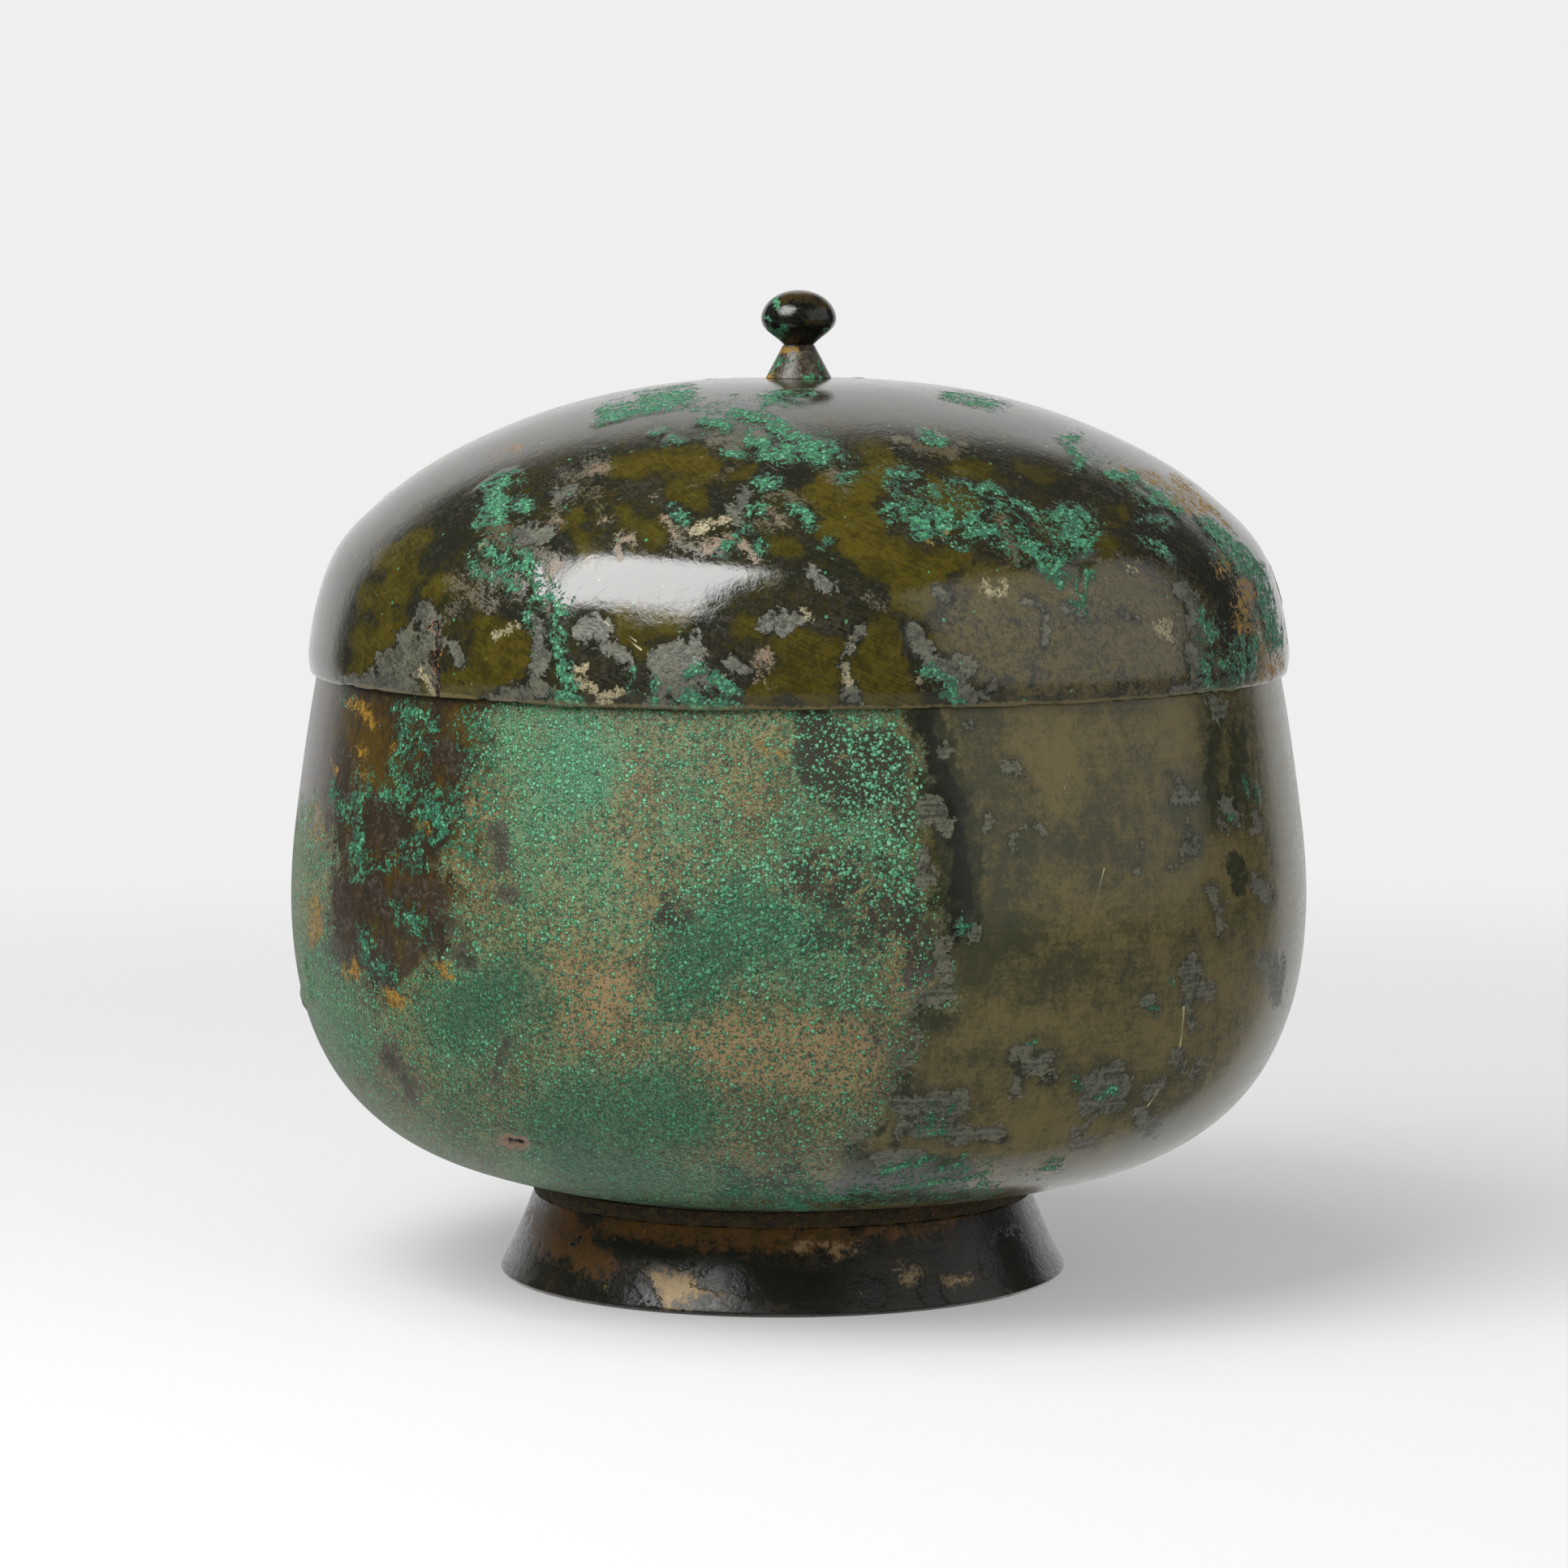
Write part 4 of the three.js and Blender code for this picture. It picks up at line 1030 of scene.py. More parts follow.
def bowl_finish(bowl, colours):
    """Granular green film over bare bronze, between a rusty side and a satin olive-brown one."""
    coat = Coat("bowl patina")
    broad = coat.noise(14.0, 6.0, distortion=0.6)
    mid = coat.noise(2.6, 6.0, distortion=0.5)
    fine = coat.noise(0.8)
    grit = coat.noise(0.36, 2.0)
    lace = coat.noise(1.5, 6.0, 0.72, distortion=1.2)
    brushing = coat.noise(0.5, 2.0, place=coat.wrapped(4.0, 1.0))
    streaks = coat.noise(2.4, 6.0, 0.65, distortion=0.5, place=coat.wrapped(80.0, 0.3))

    # The satin side, with olive and black patches
    lit = coat.plus(coat.times(coat.field("satin"), 0.8), (broad, 0.3), (mid, 0.35), (streaks, 0.2))
    lit = coat.plus(lit, (brushing, 0.12), (fine, 0.3), (grit, 0.25))
    satin = coat.mixed(lit, -1.2, 1.2, colours.olive_brown, colours.satin_brown)
    spotted = coat.edge(coat.plus(lace, (fine, 0.5), (coat.field("satin"), -0.6)), 1.0, 2.4)
    satin = coat.blend(coat.times(spotted, 0.6), satin, colours.dark_olive)
    balance = coat.plus(coat.field("tone"), 1.0, (broad, 0.4), (mid, 0.5), (lace, 0.3), (fine, 0.3))
    olive = coat.mixed(coat.plus(mid, fine), -1.5, 2.5, colours.dark_olive, colours.olive_brown)
    olive = coat.mixed(balance, -1.8, -3.4, olive, colours.black_gloss)
    coat.colour = coat.mixed(balance, -0.6, 0.8, olive, satin)
    coat.roughness = coat.level(coat.edge(coat.plus(lit, (brushing, 0.2)), -1.5, 1.2), 0.17, 0.27)

    # The rusty side
    rusting = coat.plus(coat.times(coat.field("rust"), 0.5), (streaks, 0.7), (mid, 0.6))
    rusting = coat.plus(rusting, (fine, 0.5), (grit, 0.3))
    rusty = coat.mixed(rusting, -0.9, 2.2, colours.dark_brown, colours.rust)
    rusty = coat.mixed(coat.plus(mid, (lace, 0.8)), 1.0, 2.2, rusty, colours.dark_grey)
    rusty = coat.mixed(coat.plus(lace, (grit, 0.5)), 1.2, 2.0, rusty, colours.ochre)
    side = coat.patch("rusty", broad, (mid, 0.8), (lace, 0.6), low=-1.8, high=1.8)
    coat.lay(side, rusty, 0.26)

    # The ground under the grains
    film = coat.field("film")
    pale = coat.field("pale")
    ground = coat.mixed(coat.plus(broad, fine, grit), -2.4, 2.4, colours.bare_brown, colours.bare_tan)
    warm = coat.patch("warm", (mid, 0.2), (lace, 0.3), (grit, 0.2), low=0.2, high=1.5)
    ground = coat.blend(coat.times(warm, 0.8), ground, colours.warm_tan)
    filmed = coat.plus(film, (mid, 0.25), (fine, 0.4), (grit, 0.6))
    ground = coat.mixed(filmed, -1.0, 2.4, ground, colours.teal_film)
    brown = coat.patch("brown", (mid, 0.3), (lace, 0.4), low=0.25, high=0.85)
    ground = coat.blend(coat.times(brown, 0.95), ground, colours.dark_brown)
    mauve = coat.patch("mauve", (mid, 0.2), (lace, 0.5), low=0.2, high=1.5)
    ground = coat.blend(coat.times(mauve, 0.7), ground, colours.mauve)
    deep = coat.edge(coat.plus(pale, (mid, 0.2), (grit, 0.3)), 0.1, -1.2)
    ground = coat.blend(coat.times(deep, 0.6), ground, colours.deep_green)

    # Grains of three sizes, with a dark ring round each that is partly painted shade, and a painted
    # highlight on the tip of the paler ones
    stirred = coat.stirred(0.5, 0.6)
    zone = coat.field("granular")
    sparse = coat.times(coat.math("MINIMUM", zone, 0.0), 0.25)
    many = coat.plus(sparse, (coat.field("grain"), 0.35), (film, 0.12), (mid, 0.08))
    large = coat.grains(1.0, coat.plus(many, -0.03), stirred)[0]
    middling, middling_share = coat.grains(0.66, coat.plus(many, 0.36), stirred)
    small, small_share = coat.grains(0.42, coat.plus(sparse, 0.6, (film, 0.15), (mid, 0.05)), stirred)
    inside = coat.math("MAXIMUM", coat.math("MAXIMUM", large, middling), small)
    # Dark ring round each grain, partly painted shade that the grains would cast on the ground
    ring_and_shade_share = coat.times(coat.edge(inside, -0.8, 0.0), 0.72)
    ground = coat.blend(ring_and_shade_share, ground, colours.ring_and_shade)
    share = coat.level(coat.edge(middling, -0.05, 0.05), small_share, middling_share)
    lively = coat.plus(share, (grit, 0.15), (film, 0.1), (pale, 0.3))
    green = coat.mixed(lively, 0.2, 0.9, colours.deep_green, colours.mint)
    # Painted highlight on the tip of the paler grains
    highlight_share = coat.edge(coat.plus(share, (fine, 0.15), (pale, 0.5)), 0.35, 0.95)
    green = coat.blend(coat.times(coat.edge(inside, 0.3, 0.75), highlight_share), green, colours.tip_highlight)
    grained = coat.mixed(inside, 0.0, 0.25, ground, green)
    granular = coat.edge(coat.plus(zone, (broad, 0.8), (mid, 1.2), (lace, 1.4), (grit, 0.5)), -2.2, 2.6)
    coat.lay(coat.math("MAXIMUM", granular, coat.edge(inside, 0.0, 0.2)), grained)
    coat.roughness = coat.level(granular, coat.roughness, 0.5)

    # Stains, losses, crusts, scratches and the pit, with painted shade inside it
    dark = coat.patch("dark", (mid, 0.5), (lace, 0.7), (grit, 0.3), low=-0.4, high=1.0)
    coat.lay(dark, coat.mixed(lace, -0.5, 2.0, colours.dark_brown, colours.mauve), cover=0.85)
    rim = coat.patch("grey", 0.4, (mid, 0.5), (fine, 0.25), low=-0.5, high=0.5)
    coat.lay(coat.times(rim, coat.math("SUBTRACT", 0.7, granular)), colours.black_gloss)
    grey = coat.patch("grey", (mid, 0.55), (fine, 0.35))
    worn = coat.plus(mid, fine, grit, brushing)
    coat.lay(grey, coat.mixed(worn, -2.8, 2.8, colours.dark_grey, colours.grey_loss), 0.42)
    ochre = coat.patch("ochre", (lace, 0.7), (grit, 0.3), low=0.0, high=0.7)
    coat.lay(ochre, coat.mixed(fine, -2.2, 1.2, colours.rust, colours.ochre))
    height = lay_crust(coat, colours, mid, lace, grit)
    marks = coat.scratches(bowl, BOWL_SCRATCHES)
    coat.lay(marks, colours.pale_metal)
    pit_rim = coat.patch("pit", 1.1, (fine, 0.2), (lace, 0.2), low=-0.5, high=0.5)
    coat.lay(pit_rim, colours.pink_tan)
    # Painted shade inside the pit
    coat.lay(coat.patch("pit", (fine, 0.1)), colours.pit_painted_shade)

    for grains, rise in ((large, 0.3), (middling, 0.2), (small, 0.12)):
        height = coat.plus(height, (coat.math("MAXIMUM", grains, 0.0), rise))
    height = coat.plus(height, (coat.times(granular, grit), 0.012), (grey, -0.04), (marks, -0.03))
    height = coat.plus(height, (brushing, 0.0006), (mid, 0.004), (fine, 0.001))
    return coat.finish(height, ior=1.55)


def foot_finish(colours):
    """Dark worn bronze with rusty stains, black spots and bare tan metal that is partly a painted reflection
    of the key softbox.
    """
    coat = Coat("foot patina")
    broad = coat.noise(9.0, 5.0)
    mid = coat.noise(2.2, 5.0)
    fine = coat.noise(0.7)
    lace = coat.noise(1.6, 6.0, 0.72, distortion=1.2)
    dark = coat.plus(broad, mid, (fine, 0.5))
    coat.colour = coat.mixed(dark, -2.0, 2.4, colours.black_gloss, colours.dark_brown)
    coat.roughness = coat.level(coat.edge(coat.plus(fine, lace), -2.0, 2.0), 0.2, 0.36)
    mottled = coat.edge(coat.plus(lace, (broad, 0.8), (fine, 0.4)), -0.4, 2.4)
    coat.lay(mottled, colours.grey_brown, cover=0.8)
    grey = coat.patch("grey", (broad, 0.4), (mid, 0.5), (fine, 0.3), low=-0.8, high=0.8)
    coat.lay(grey, colours.dark_grey)
    ochre = coat.patch("ochre", (mid, 0.6), (lace, 0.8), (fine, 0.3), low=-1.2, high=1.4)
    stain = coat.plus(fine, mid, (lace, 0.5))
    coat.lay(ochre, coat.mixed(stain, -2.4, 2.0, colours.rust, colours.foot_rust), 0.42)
    # Bare tan metal, partly a painted reflection of the key softbox
    bare = coat.patch("bare", (mid, 0.5), (lace, 0.9), (fine, 0.5), low=-0.6, high=2.2)
    coat.lay(bare, colours.bare_metal_and_glint, 0.36)
    black = coat.patch("black", (mid, 0.5), (lace, 0.5), (fine, 0.4), low=-0.3, high=0.3)
    coat.lay(black, colours.black_gloss, 0.2)
    flecks = coat.times(coat.edge(coat.plus(fine, (mid, 0.8)), 2.2, 2.8), coat.edge(broad, -0.2, 0.6))
    coat.lay(flecks, colours.ochre)
    height = coat.plus(coat.times(black, -0.05), (fine, 0.004), (mid, 0.01), (ochre, 0.02))
    return coat.finish(height, ior=1.5, metal=coat.times(bare, 0.3))


def solder_finish(colours):
    """Lumpy brown crust with orange flecks and traces of green."""
    coat = Coat("solder crust")
    mid = coat.noise(2.0, 5.0)
    fine = coat.noise(0.7)
    grit = coat.noise(0.34, 2.0)
    coat.colour = coat.mixed(coat.plus(mid, fine), -2.4, 2.4, colours.dark_brown, colours.rust)
    coat.roughness = coat.level(coat.edge(fine, -1.0, 1.0), 0.7, 0.9)
    coat.lay(coat.edge(coat.plus(fine, (grit, 0.6)), 1.8, 2.4), colours.copper)
    coat.lay(coat.edge(coat.plus(mid, (grit, 0.5)), 1.6, 2.2), colours.deep_green)
    return coat.finish(coat.plus(coat.times(fine, 0.06), (grit, 0.03)), ior=1.5)


def bead_finish(colours):
    """Glossy black with a worn brown top and spots of green."""
    coat = Coat("bead patina")
    mid = coat.noise(1.6, 5.0)
    fine = coat.noise(0.5)
    coat.colour = coat.mixed(coat.plus(mid, fine), -1.5, 2.0, colours.bead_black, colours.black_gloss)
    coat.roughness = coat.level(coat.edge(fine, -1.0, 1.0), 0.1, 0.18)
    brown = coat.patch("brown", (mid, 0.3), (fine, 0.3), low=-0.5, high=0.5)
    coat.lay(brown, colours.rust, cover=0.5)
    green = coat.patch("green", (mid, 0.2), (fine, 0.25), low=-0.2, high=0.2)
    coat.lay(green, coat.mixed(fine, -0.8, 0.8, colours.deep_green, colours.mint), 0.6)
    height = coat.plus(coat.times(green, 0.05), (mid, 0.008), (fine, 0.003))
    return coat.finish(height, ior=1.6)


def collar_finish(colours):
    """Grey-brown bronze with green and ochre crust."""
    coat = Coat("collar patina")
    mid = coat.noise(1.4, 5.0)
    fine = coat.noise(0.5)
    coat.colour = coat.mixed(coat.plus(mid, fine), -1.4, 3.0, colours.dark_brown, colours.haze)
    coat.roughness = coat.level(coat.edge(fine, -1.0, 1.0), 0.24, 0.36)
    green = coat.patch("green", (mid, 0.4), (fine, 0.4), low=-0.3, high=0.3)
    coat.lay(green, coat.mixed(fine, -1.5, 1.5, colours.deep_green, colours.mint))
    ochre = coat.patch("ochre", (mid, 0.3), (fine, 0.35), low=-0.3, high=0.3)
    coat.lay(ochre, colours.ochre)
    coat.roughness = coat.level(coat.math("MAXIMUM", green, ochre), coat.roughness, 0.75)
    height = coat.plus(coat.times(green, 0.08), (fine, 0.01), (mid, 0.015))
    return coat.finish(height, ior=1.6)


def washer_finish(colours):
    """Dull brown bronze."""
    coat = Coat("washer patina")
    mid = coat.noise(1.8, 5.0)
    fine = coat.noise(0.5)
    coat.colour = coat.mixed(coat.plus(mid, fine), -1.2, 1.2, colours.dark_brown, colours.satin_brown)
    coat.roughness = coat.level(coat.edge(fine, -1.0, 1.0), 0.4, 0.6)
    coat.lay(coat.edge(coat.plus(mid, (fine, 0.8)), 1.0, 1.4), colours.deep_green)
    return coat.finish(coat.plus(coat.times(fine, 0.02), (mid, 0.02)), ior=1.6)


# What a user can change

def colour_of(name, description, default):
    """A colour that can be changed in the panel."""
    return FloatVectorProperty(
        name=name, description=description, default=default, size=3, subtype="COLOR", min=0.0, max=1.0
    )


def size_of(name, description, default):
    """A size in metres that can be changed in the panel."""
    return FloatProperty(
        name=name, description=description, default=default, min=0.0, precision=5, unit="LENGTH"
    )


def power_of(name, description, default):
    """A lamp's power that can be changed in the panel."""
    return FloatProperty(name=name, description=description, default=default, min=0.0, unit="POWER")


def share_of(name, description, default):
    """A lightness that can be changed in the panel."""
    return FloatProperty(
        name=name, description=description, default=default, min=0.0, max=1.0, subtype="FACTOR"
    )


class BRONZE_PG_colours(bpy.types.PropertyGroup):
    """Colours of the patina"""

    olive_gloss: colour_of("Olive gloss", "Olive patches of the lid", (0.08, 0.064, 0.006))
    black_gloss: colour_of("Black gloss", "Black patches of the lid and bowl", (0.013, 0.014, 0.008))
    olive_dark: colour_of("Olive dark", "Darker olive of the lid", (0.036, 0.029, 0.004))
    grey_brown: colour_of("Grey brown", "Thin grey-brown patina of the lid", (0.042, 0.037, 0.026))
    haze: colour_of("Haze", "Grey-brown haze of the lid", (0.13, 0.11, 0.065))
    olive_brown: colour_of("Olive brown", "Dark satin side of the bowl", (0.042, 0.043, 0.019))
    dark_olive: colour_of("Dark olive", "Darkest satin of the bowl", (0.024, 0.026, 0.011))
    satin_brown: colour_of("Satin brown", "Light satin side of the bowl", (0.13, 0.102, 0.035))
    grey_loss: colour_of("Grey loss", "Lighter grey where the patina is lost", (0.125, 0.127, 0.083))
    dark_grey: colour_of("Dark grey", "Darker grey where the patina is lost", (0.04, 0.039, 0.028))
    dark_brown: colour_of("Dark brown", "Dark stains and the foot", (0.027, 0.020, 0.012))
    rust: colour_of("Rust", "Rusty brown stains", (0.068, 0.041, 0.006))
    foot_rust: colour_of("Foot rust", "Orange-brown stains of the foot", (0.13, 0.055, 0.010))
    ochre: colour_of("Ochre", "Yellow-brown crust", (0.32, 0.18, 0.022))
    copper: colour_of("Copper", "Coppery flecks", (0.3, 0.12, 0.045))
    pink_tan: colour_of("Pink tan", "Pinkish losses", (0.24, 0.155, 0.095))
    bare_brown: colour_of("Bare brown", "Dark bare bronze under the grains", (0.095, 0.073, 0.028))
    bare_tan: colour_of("Bare tan", "Light bare bronze under the grains", (0.25, 0.195, 0.08))
    warm_tan: colour_of("Warm tan", "Orange-tan bronze under the grains", (0.31, 0.2, 0.085))
    # Worn metal of the foot, partly a painted reflection of the key softbox
    bare_metal_and_glint: colour_of("Bare metal", "Worn metal of the foot", (0.34, 0.24, 0.12))
    mauve: colour_of("Mauve", "Mauve-grey stains under the grains", (0.1, 0.078, 0.066))
    # Dark ring round the grains, partly painted shade
    ring_and_shade: colour_of("Hollow", "Shade round the grains", (0.022, 0.03, 0.014))
    cream: colour_of("Cream", "Cream spots on the lid", (0.4, 0.34, 0.18))
    pale_metal: colour_of("Pale metal", "Scratches down to the metal", (0.42, 0.38, 0.2))
    deep_green: colour_of("Deep green", "Hollows of the green crust", (0.012, 0.1, 0.047))
    teal_film: colour_of("Teal film", "Thin green film of the bowl", (0.082, 0.255, 0.126))
    teal: colour_of("Teal", "Bluish green crust", (0.03, 0.2, 0.12))
    mint: colour_of("Mint", "Green crust and grains", (0.055, 0.3, 0.128))
    # Painted highlight on the tip of grains
    tip_highlight: colour_of("Pale mint", "The lightest grains", (0.24, 0.5, 0.31))
    # Painted shade inside the crack
    crack_painted_shade: colour_of("Crack shade", "Inside of the crack in the lid", (0.004, 0.003, 0.002))
    # Painted shade inside the pit
    pit_painted_shade: colour_of("Pit shade", "Inside of the pit near the bowl's base", (0.006, 0.005, 0.004))
    bead_black: colour_of("Bead black", "Darkest parts of the bead", (0.004, 0.004, 0.004))


class BRONZE_PG_relief(bpy.types.PropertyGroup):
    """Heights and depths of the wear"""

    crust: size_of("Crust", "How far the green crust stands out", 0.00016)
    loss: size_of("Loss", "How deep the grey losses lie", 0.00008)
    crack: size_of("Crack", "Depth of the crack in the lid", 0.0005)
    pit: size_of("Pit", "Depth of the pit near the bowl's base", 0.0007)
    flake: size_of("Flake", "How far the flake on the bowl's side stands out", 0.0004)
    unevenness: size_of("Unevenness", "How far the beaten walls wave in and out", 0.00012)
    chips: size_of("Chips", "How deep the lid's edge is chipped", 0.0003)
    lumps: size_of("Lumps", "Height of the solder's lumps", 0.00025)


class BRONZE_PG_stage(bpy.types.PropertyGroup):
    """Light of the studio"""

    key_power: power_of("Key", "Power of the softbox that the lid mirrors", 9.6)
    top_power: power_of("Top", "Power of the softbox above", 3.5)
    front_power: power_of("Front", "Power of the fill beside the camera", 4.4)
    card_power: power_of("Card", "Power of the white card on the right", 1.7)
    floor: colour_of("Floor", "Colour of the floor's paper", (0.5, 0.5, 0.5))
    room: share_of("Room", "Even light of the room", 0.25)
    dark_room: share_of("Dark room", "Lightness of the room that the bowl mirrors", 0.05)
    backdrop: share_of("Backdrop", "Lightness of the backdrop", 0.865)
    paper: share_of("Paper", "Lightness of the floor in the shadow", 0.29)


# Shapes and fields of the pieces

def relief_of(field, soft=0.4):
    """1 inside a field's patches and 0 outside, with a soft edge."""
    return smooth(field, -soft, soft)


def shape_bowl(bowl, relief):
    """Draws the bowl's fields and works its relief."""
    rusty = (RUSTY_FROM - np.degrees(bowl.angles)) / RUSTY_STEP
    tone = bowl.depth(BOWL_OLIVE).clip(0) - bowl.depth(BOWL_BLACK).clip(-0.5) * 1.6
    bowl.keep("granular", bowl.zone_depth(BOWL_GRANULAR_EDGE), -0.5, 7.0, 1, size=30.0)
    bowl.keep("rusty", rusty.clip(-FIELD_LIMIT, FIELD_LIMIT), -0.5, 6.0, 2, size=40.0)
    bowl.keep("tone", tone, 0.5, 3.0, 3)
    bowl.keep("satin", bowl.wash(BOWL_SATIN), 0.0, 1.0, 14)
    bowl.keep("rust", bowl.depth(BOWL_RUST).clip(0) - 0.3, 0.0, 2.0, 4)
    bowl.keep("film", bowl.wash(BOWL_FILM), 0.0, 1.2, 5, size=30.0)
    bowl.keep("warm", bowl.wash(BOWL_WARM), 0.0, 1.0, 15, size=30.0)
    bowl.keep("brown", bowl.wash(BOWL_BROWN), 0.0, 1.0, 13)
    bowl.keep("mauve", bowl.wash(BOWL_MAUVE), 0.0, 1.0, 16)
    bowl.keep("grain", bowl.wash(BOWL_GRAIN), 0.2, 1.0, 6, size=30.0)
    bowl.keep("dark", bowl.depth(BOWL_DARK), -3.5, 4.0, 7, size=9.0)
    bowl.keep("grey", bowl.depth(BOWL_GREY), -3.0, 4.0, 8, size=9.0)
    bowl.keep("ochre", bowl.depth(BOWL_OCHRE), -4.5, 5.0, 9, size=9.0)
    bowl.keep("crust", bowl.depth(BOWL_CRUST), -3.5, 5.0, 10, size=9.0)
    bowl.keep("lacy", bowl.wash(BOWL_LACY).clip(0, 1.1), 0.2, 1.0, 17)
    bowl.keep("pale", bowl.wash(BOWL_PALE), 0.0, 1.0, 18, size=30.0)
    bowl.keep("pit", bowl.depth(BOWL_PIT), -FIELD_LIMIT, 0.0, 11)
    clear_of_lid = 1 - smooth(bowl.height, LID_EDGE - 7.2, LID_EDGE - 2.2)
    clear_of_foot = smooth(bowl.height, BOWL_BASE + 0.2, BOWL_BASE + 2.1)
    work = relief.crust * relief_of(bowl.fields["crust"])
    work -= relief.loss * relief_of(bowl.fields["grey"])
    work -= relief.pit * relief_of(bowl.fields["pit"], soft=0.8)
    work += relief.flake * relief_of(bowl.depth(BOWL_FLAKE))
    work += relief.unevenness * bowl.cloud(26.0, 12, octaves=2)
    bowl.relief += work / MM * (clear_of_lid * bowl.outside * clear_of_foot)[:, None]


def shape_lid(lid, relief):
    """Draws the lid's fields, leads its columns along the crack and works its relief."""
    crack = np.array([lid.spot(*pixel) for pixel in LID_CRACK])[::-1]
    crack_angles = np.arctan2(crack[:, 0], -crack[:, 1])
    wander = np.interp(lid.height, crack[:, 2], crack_angles) - crack_angles[0]
    off_crack = abs(lid.angles - crack_angles[0])
    lid.angles += wander[:, None] * (1 - smooth(off_crack, *CRACK_FOLLOW))
    tone = lid.depth(LID_OLIVE).clip(-0.5, 1.5) - lid.depth(LID_BLACK).clip(0, 2)
    lid.keep("tone", tone, 0.0, 1.5, 21)
    lid.keep("dull", lid.depth(LID_DULL), -3.0, 5.0, 22, size=30.0)
    lid.keep("haze", lid.depth(LID_HAZE).clip(-2, 1.5), -1.0, 2.0, 32)
    lid.keep("cream", lid.depth(LID_CREAM), -5.0, 4.0, 33, size=6.0)
    lid.keep("thin", lid.cloud(14.0, 34), 0.0, 1.0, 35)
    lid.keep("rust", lid.depth(LID_RUST), -3.0, 4.0, 23)
    lid.keep("tan", lid.depth(LID_TAN), -4.0, 4.0, 24, size=10.0)
    lid.keep("grey", lid.depth(LID_GREY), -2.5, 4.0, 25, size=9.0)
    lid.keep("ochre", lid.depth(LID_OCHRE), -4.0, 5.0, 26, size=9.0)
    lid.keep("crust", lid.depth(LID_CRUST), -2.8, 5.0, 27, size=9.0)
    lid.keep("lacy", lid.wash(LID_LACY).clip(0, 1.1), 0.3, 1.0, 36)
    lid.keep("crack", lid.depth(((CRACK_HALF_WIDTH, *LID_CRACK),)), -FIELD_LIMIT, 0.0, 28)
    work = relief.crust * relief_of(lid.fields["crust"])
    work -= relief.loss * relief_of(lid.fields["grey"])
    work -= relief.crack * smooth(lid.fields["crack"], -0.1, 0.2)
    work += relief.unevenness * lid.cloud(26.0, 29, octaves=2)
    clear_of_knob = smooth(lid.radius, COLLAR_RADIUS + 1.3, COLLAR_RADIUS + 3.8)
    lid.relief += work / MM * (lid.outside * clear_of_knob)[:, None]
    near_edge = 1 - smooth(lid.height, LID_EDGE + 0.4, LID_EDGE + 3.8)
    chipped = smooth(lid.cloud(5.0, 30), 0.1, 0.7) + 0.4 * lid.cloud(20.0, 31)
    lid.drop += relief.chips / MM * np.maximum(chipped, -0.3) * near_edge[:, None]


def crack_columns(angles):
    """The columns, with a few more close beside the crack in the lid."""
    beside = CRACK_ANGLE + np.array(CRACK_COLUMNS) / LID_RADIUS
    clear = abs(angles - CRACK_ANGLE) > CRACK_CLEAR / LID_RADIUS
    return np.sort(np.concatenate([angles[clear], beside]))


def shape_foot(foot):
    """Draws the foot's fields."""
    foot.keep("ochre", foot.depth(FOOT_OCHRE), -1.5, 4.0, 41)
    foot.keep("black", foot.depth(FOOT_BLACK), -1.5, 4.0, 42, size=8.0)
    foot.keep("bare", foot.depth(FOOT_BARE_AND_GLINT), -2.0, 4.0, 43)
    foot.keep("grey", foot.depth(FOOT_GREY), -1.0, 4.0, 44)


# Operators

class BRONZE_OT_make_bowl(bpy.types.Operator):
    """Makes the bowl with its granular green film"""

    bl_idname = "bronze.make_bowl"
    bl_label = "Make Bowl"

    def execute(self, context):
        scene = context.scene
        angles = front_angles(front_count=420, back_count=140)
        bowl = Turned("bowl_shell", angles, outside_pitch=1.3, inside_pitch=6.0, turn=up_to_rim)
        shape_bowl(bowl, scene.bronze_relief)
        bowl.make("patinated_bowl", "bowl", bowl_finish(bowl, scene.bronze_colours))
        return {"FINISHED"}


class BRONZE_OT_make_foot(bpy.types.Operator):
    """Makes the foot and the solder seam that holds it to the bowl"""

    bl_idname = "bronze.make_foot"
    bl_label = "Make Foot"

    def execute(self, context):
        scene = context.scene
        angles = even_angles(count=400)
        foot = Turned("foot_ring", angles, outside_pitch=0.6, inside_pitch=1.2, turn=whole_outside)
        shape_foot(foot)
        foot.make("worn_foot", "bowl", foot_finish(scene.bronze_colours))
        solder = Turned("foot_solder", angles, outside_pitch=0.4, inside_pitch=1.2, turn=whole_outside)
        lumps = scene.bronze_relief.lumps / MM * solder.cloud(3.0, 51)
        showing = smooth(solder.radius, SEAM_RADIUS - 0.65, SEAM_RADIUS - 0.35)
        solder.relief += np.minimum(lumps, LUMP_LIMIT) * showing[:, None]
        solder.make("solder_seam", "bowl", solder_finish(scene.bronze_colours))
        return {"FINISHED"}


class BRONZE_OT_make_lid(bpy.types.Operator):
    """Makes the glossy lid with its crack and chipped edge"""

    bl_idname = "bronze.make_lid"
    bl_label = "Make Lid"

    def execute(self, context):
        scene = context.scene
        angles = crack_columns(front_angles(front_count=440, back_count=160))
        lid = Turned("lid_shell", angles, outside_pitch=1.0, inside_pitch=4.0, turn=up_to_hole)
        shape_lid(lid, scene.bronze_relief)
        lid.make("patinated_lid", "lid", lid_finish(lid, scene.bronze_colours))
        return {"FINISHED"}


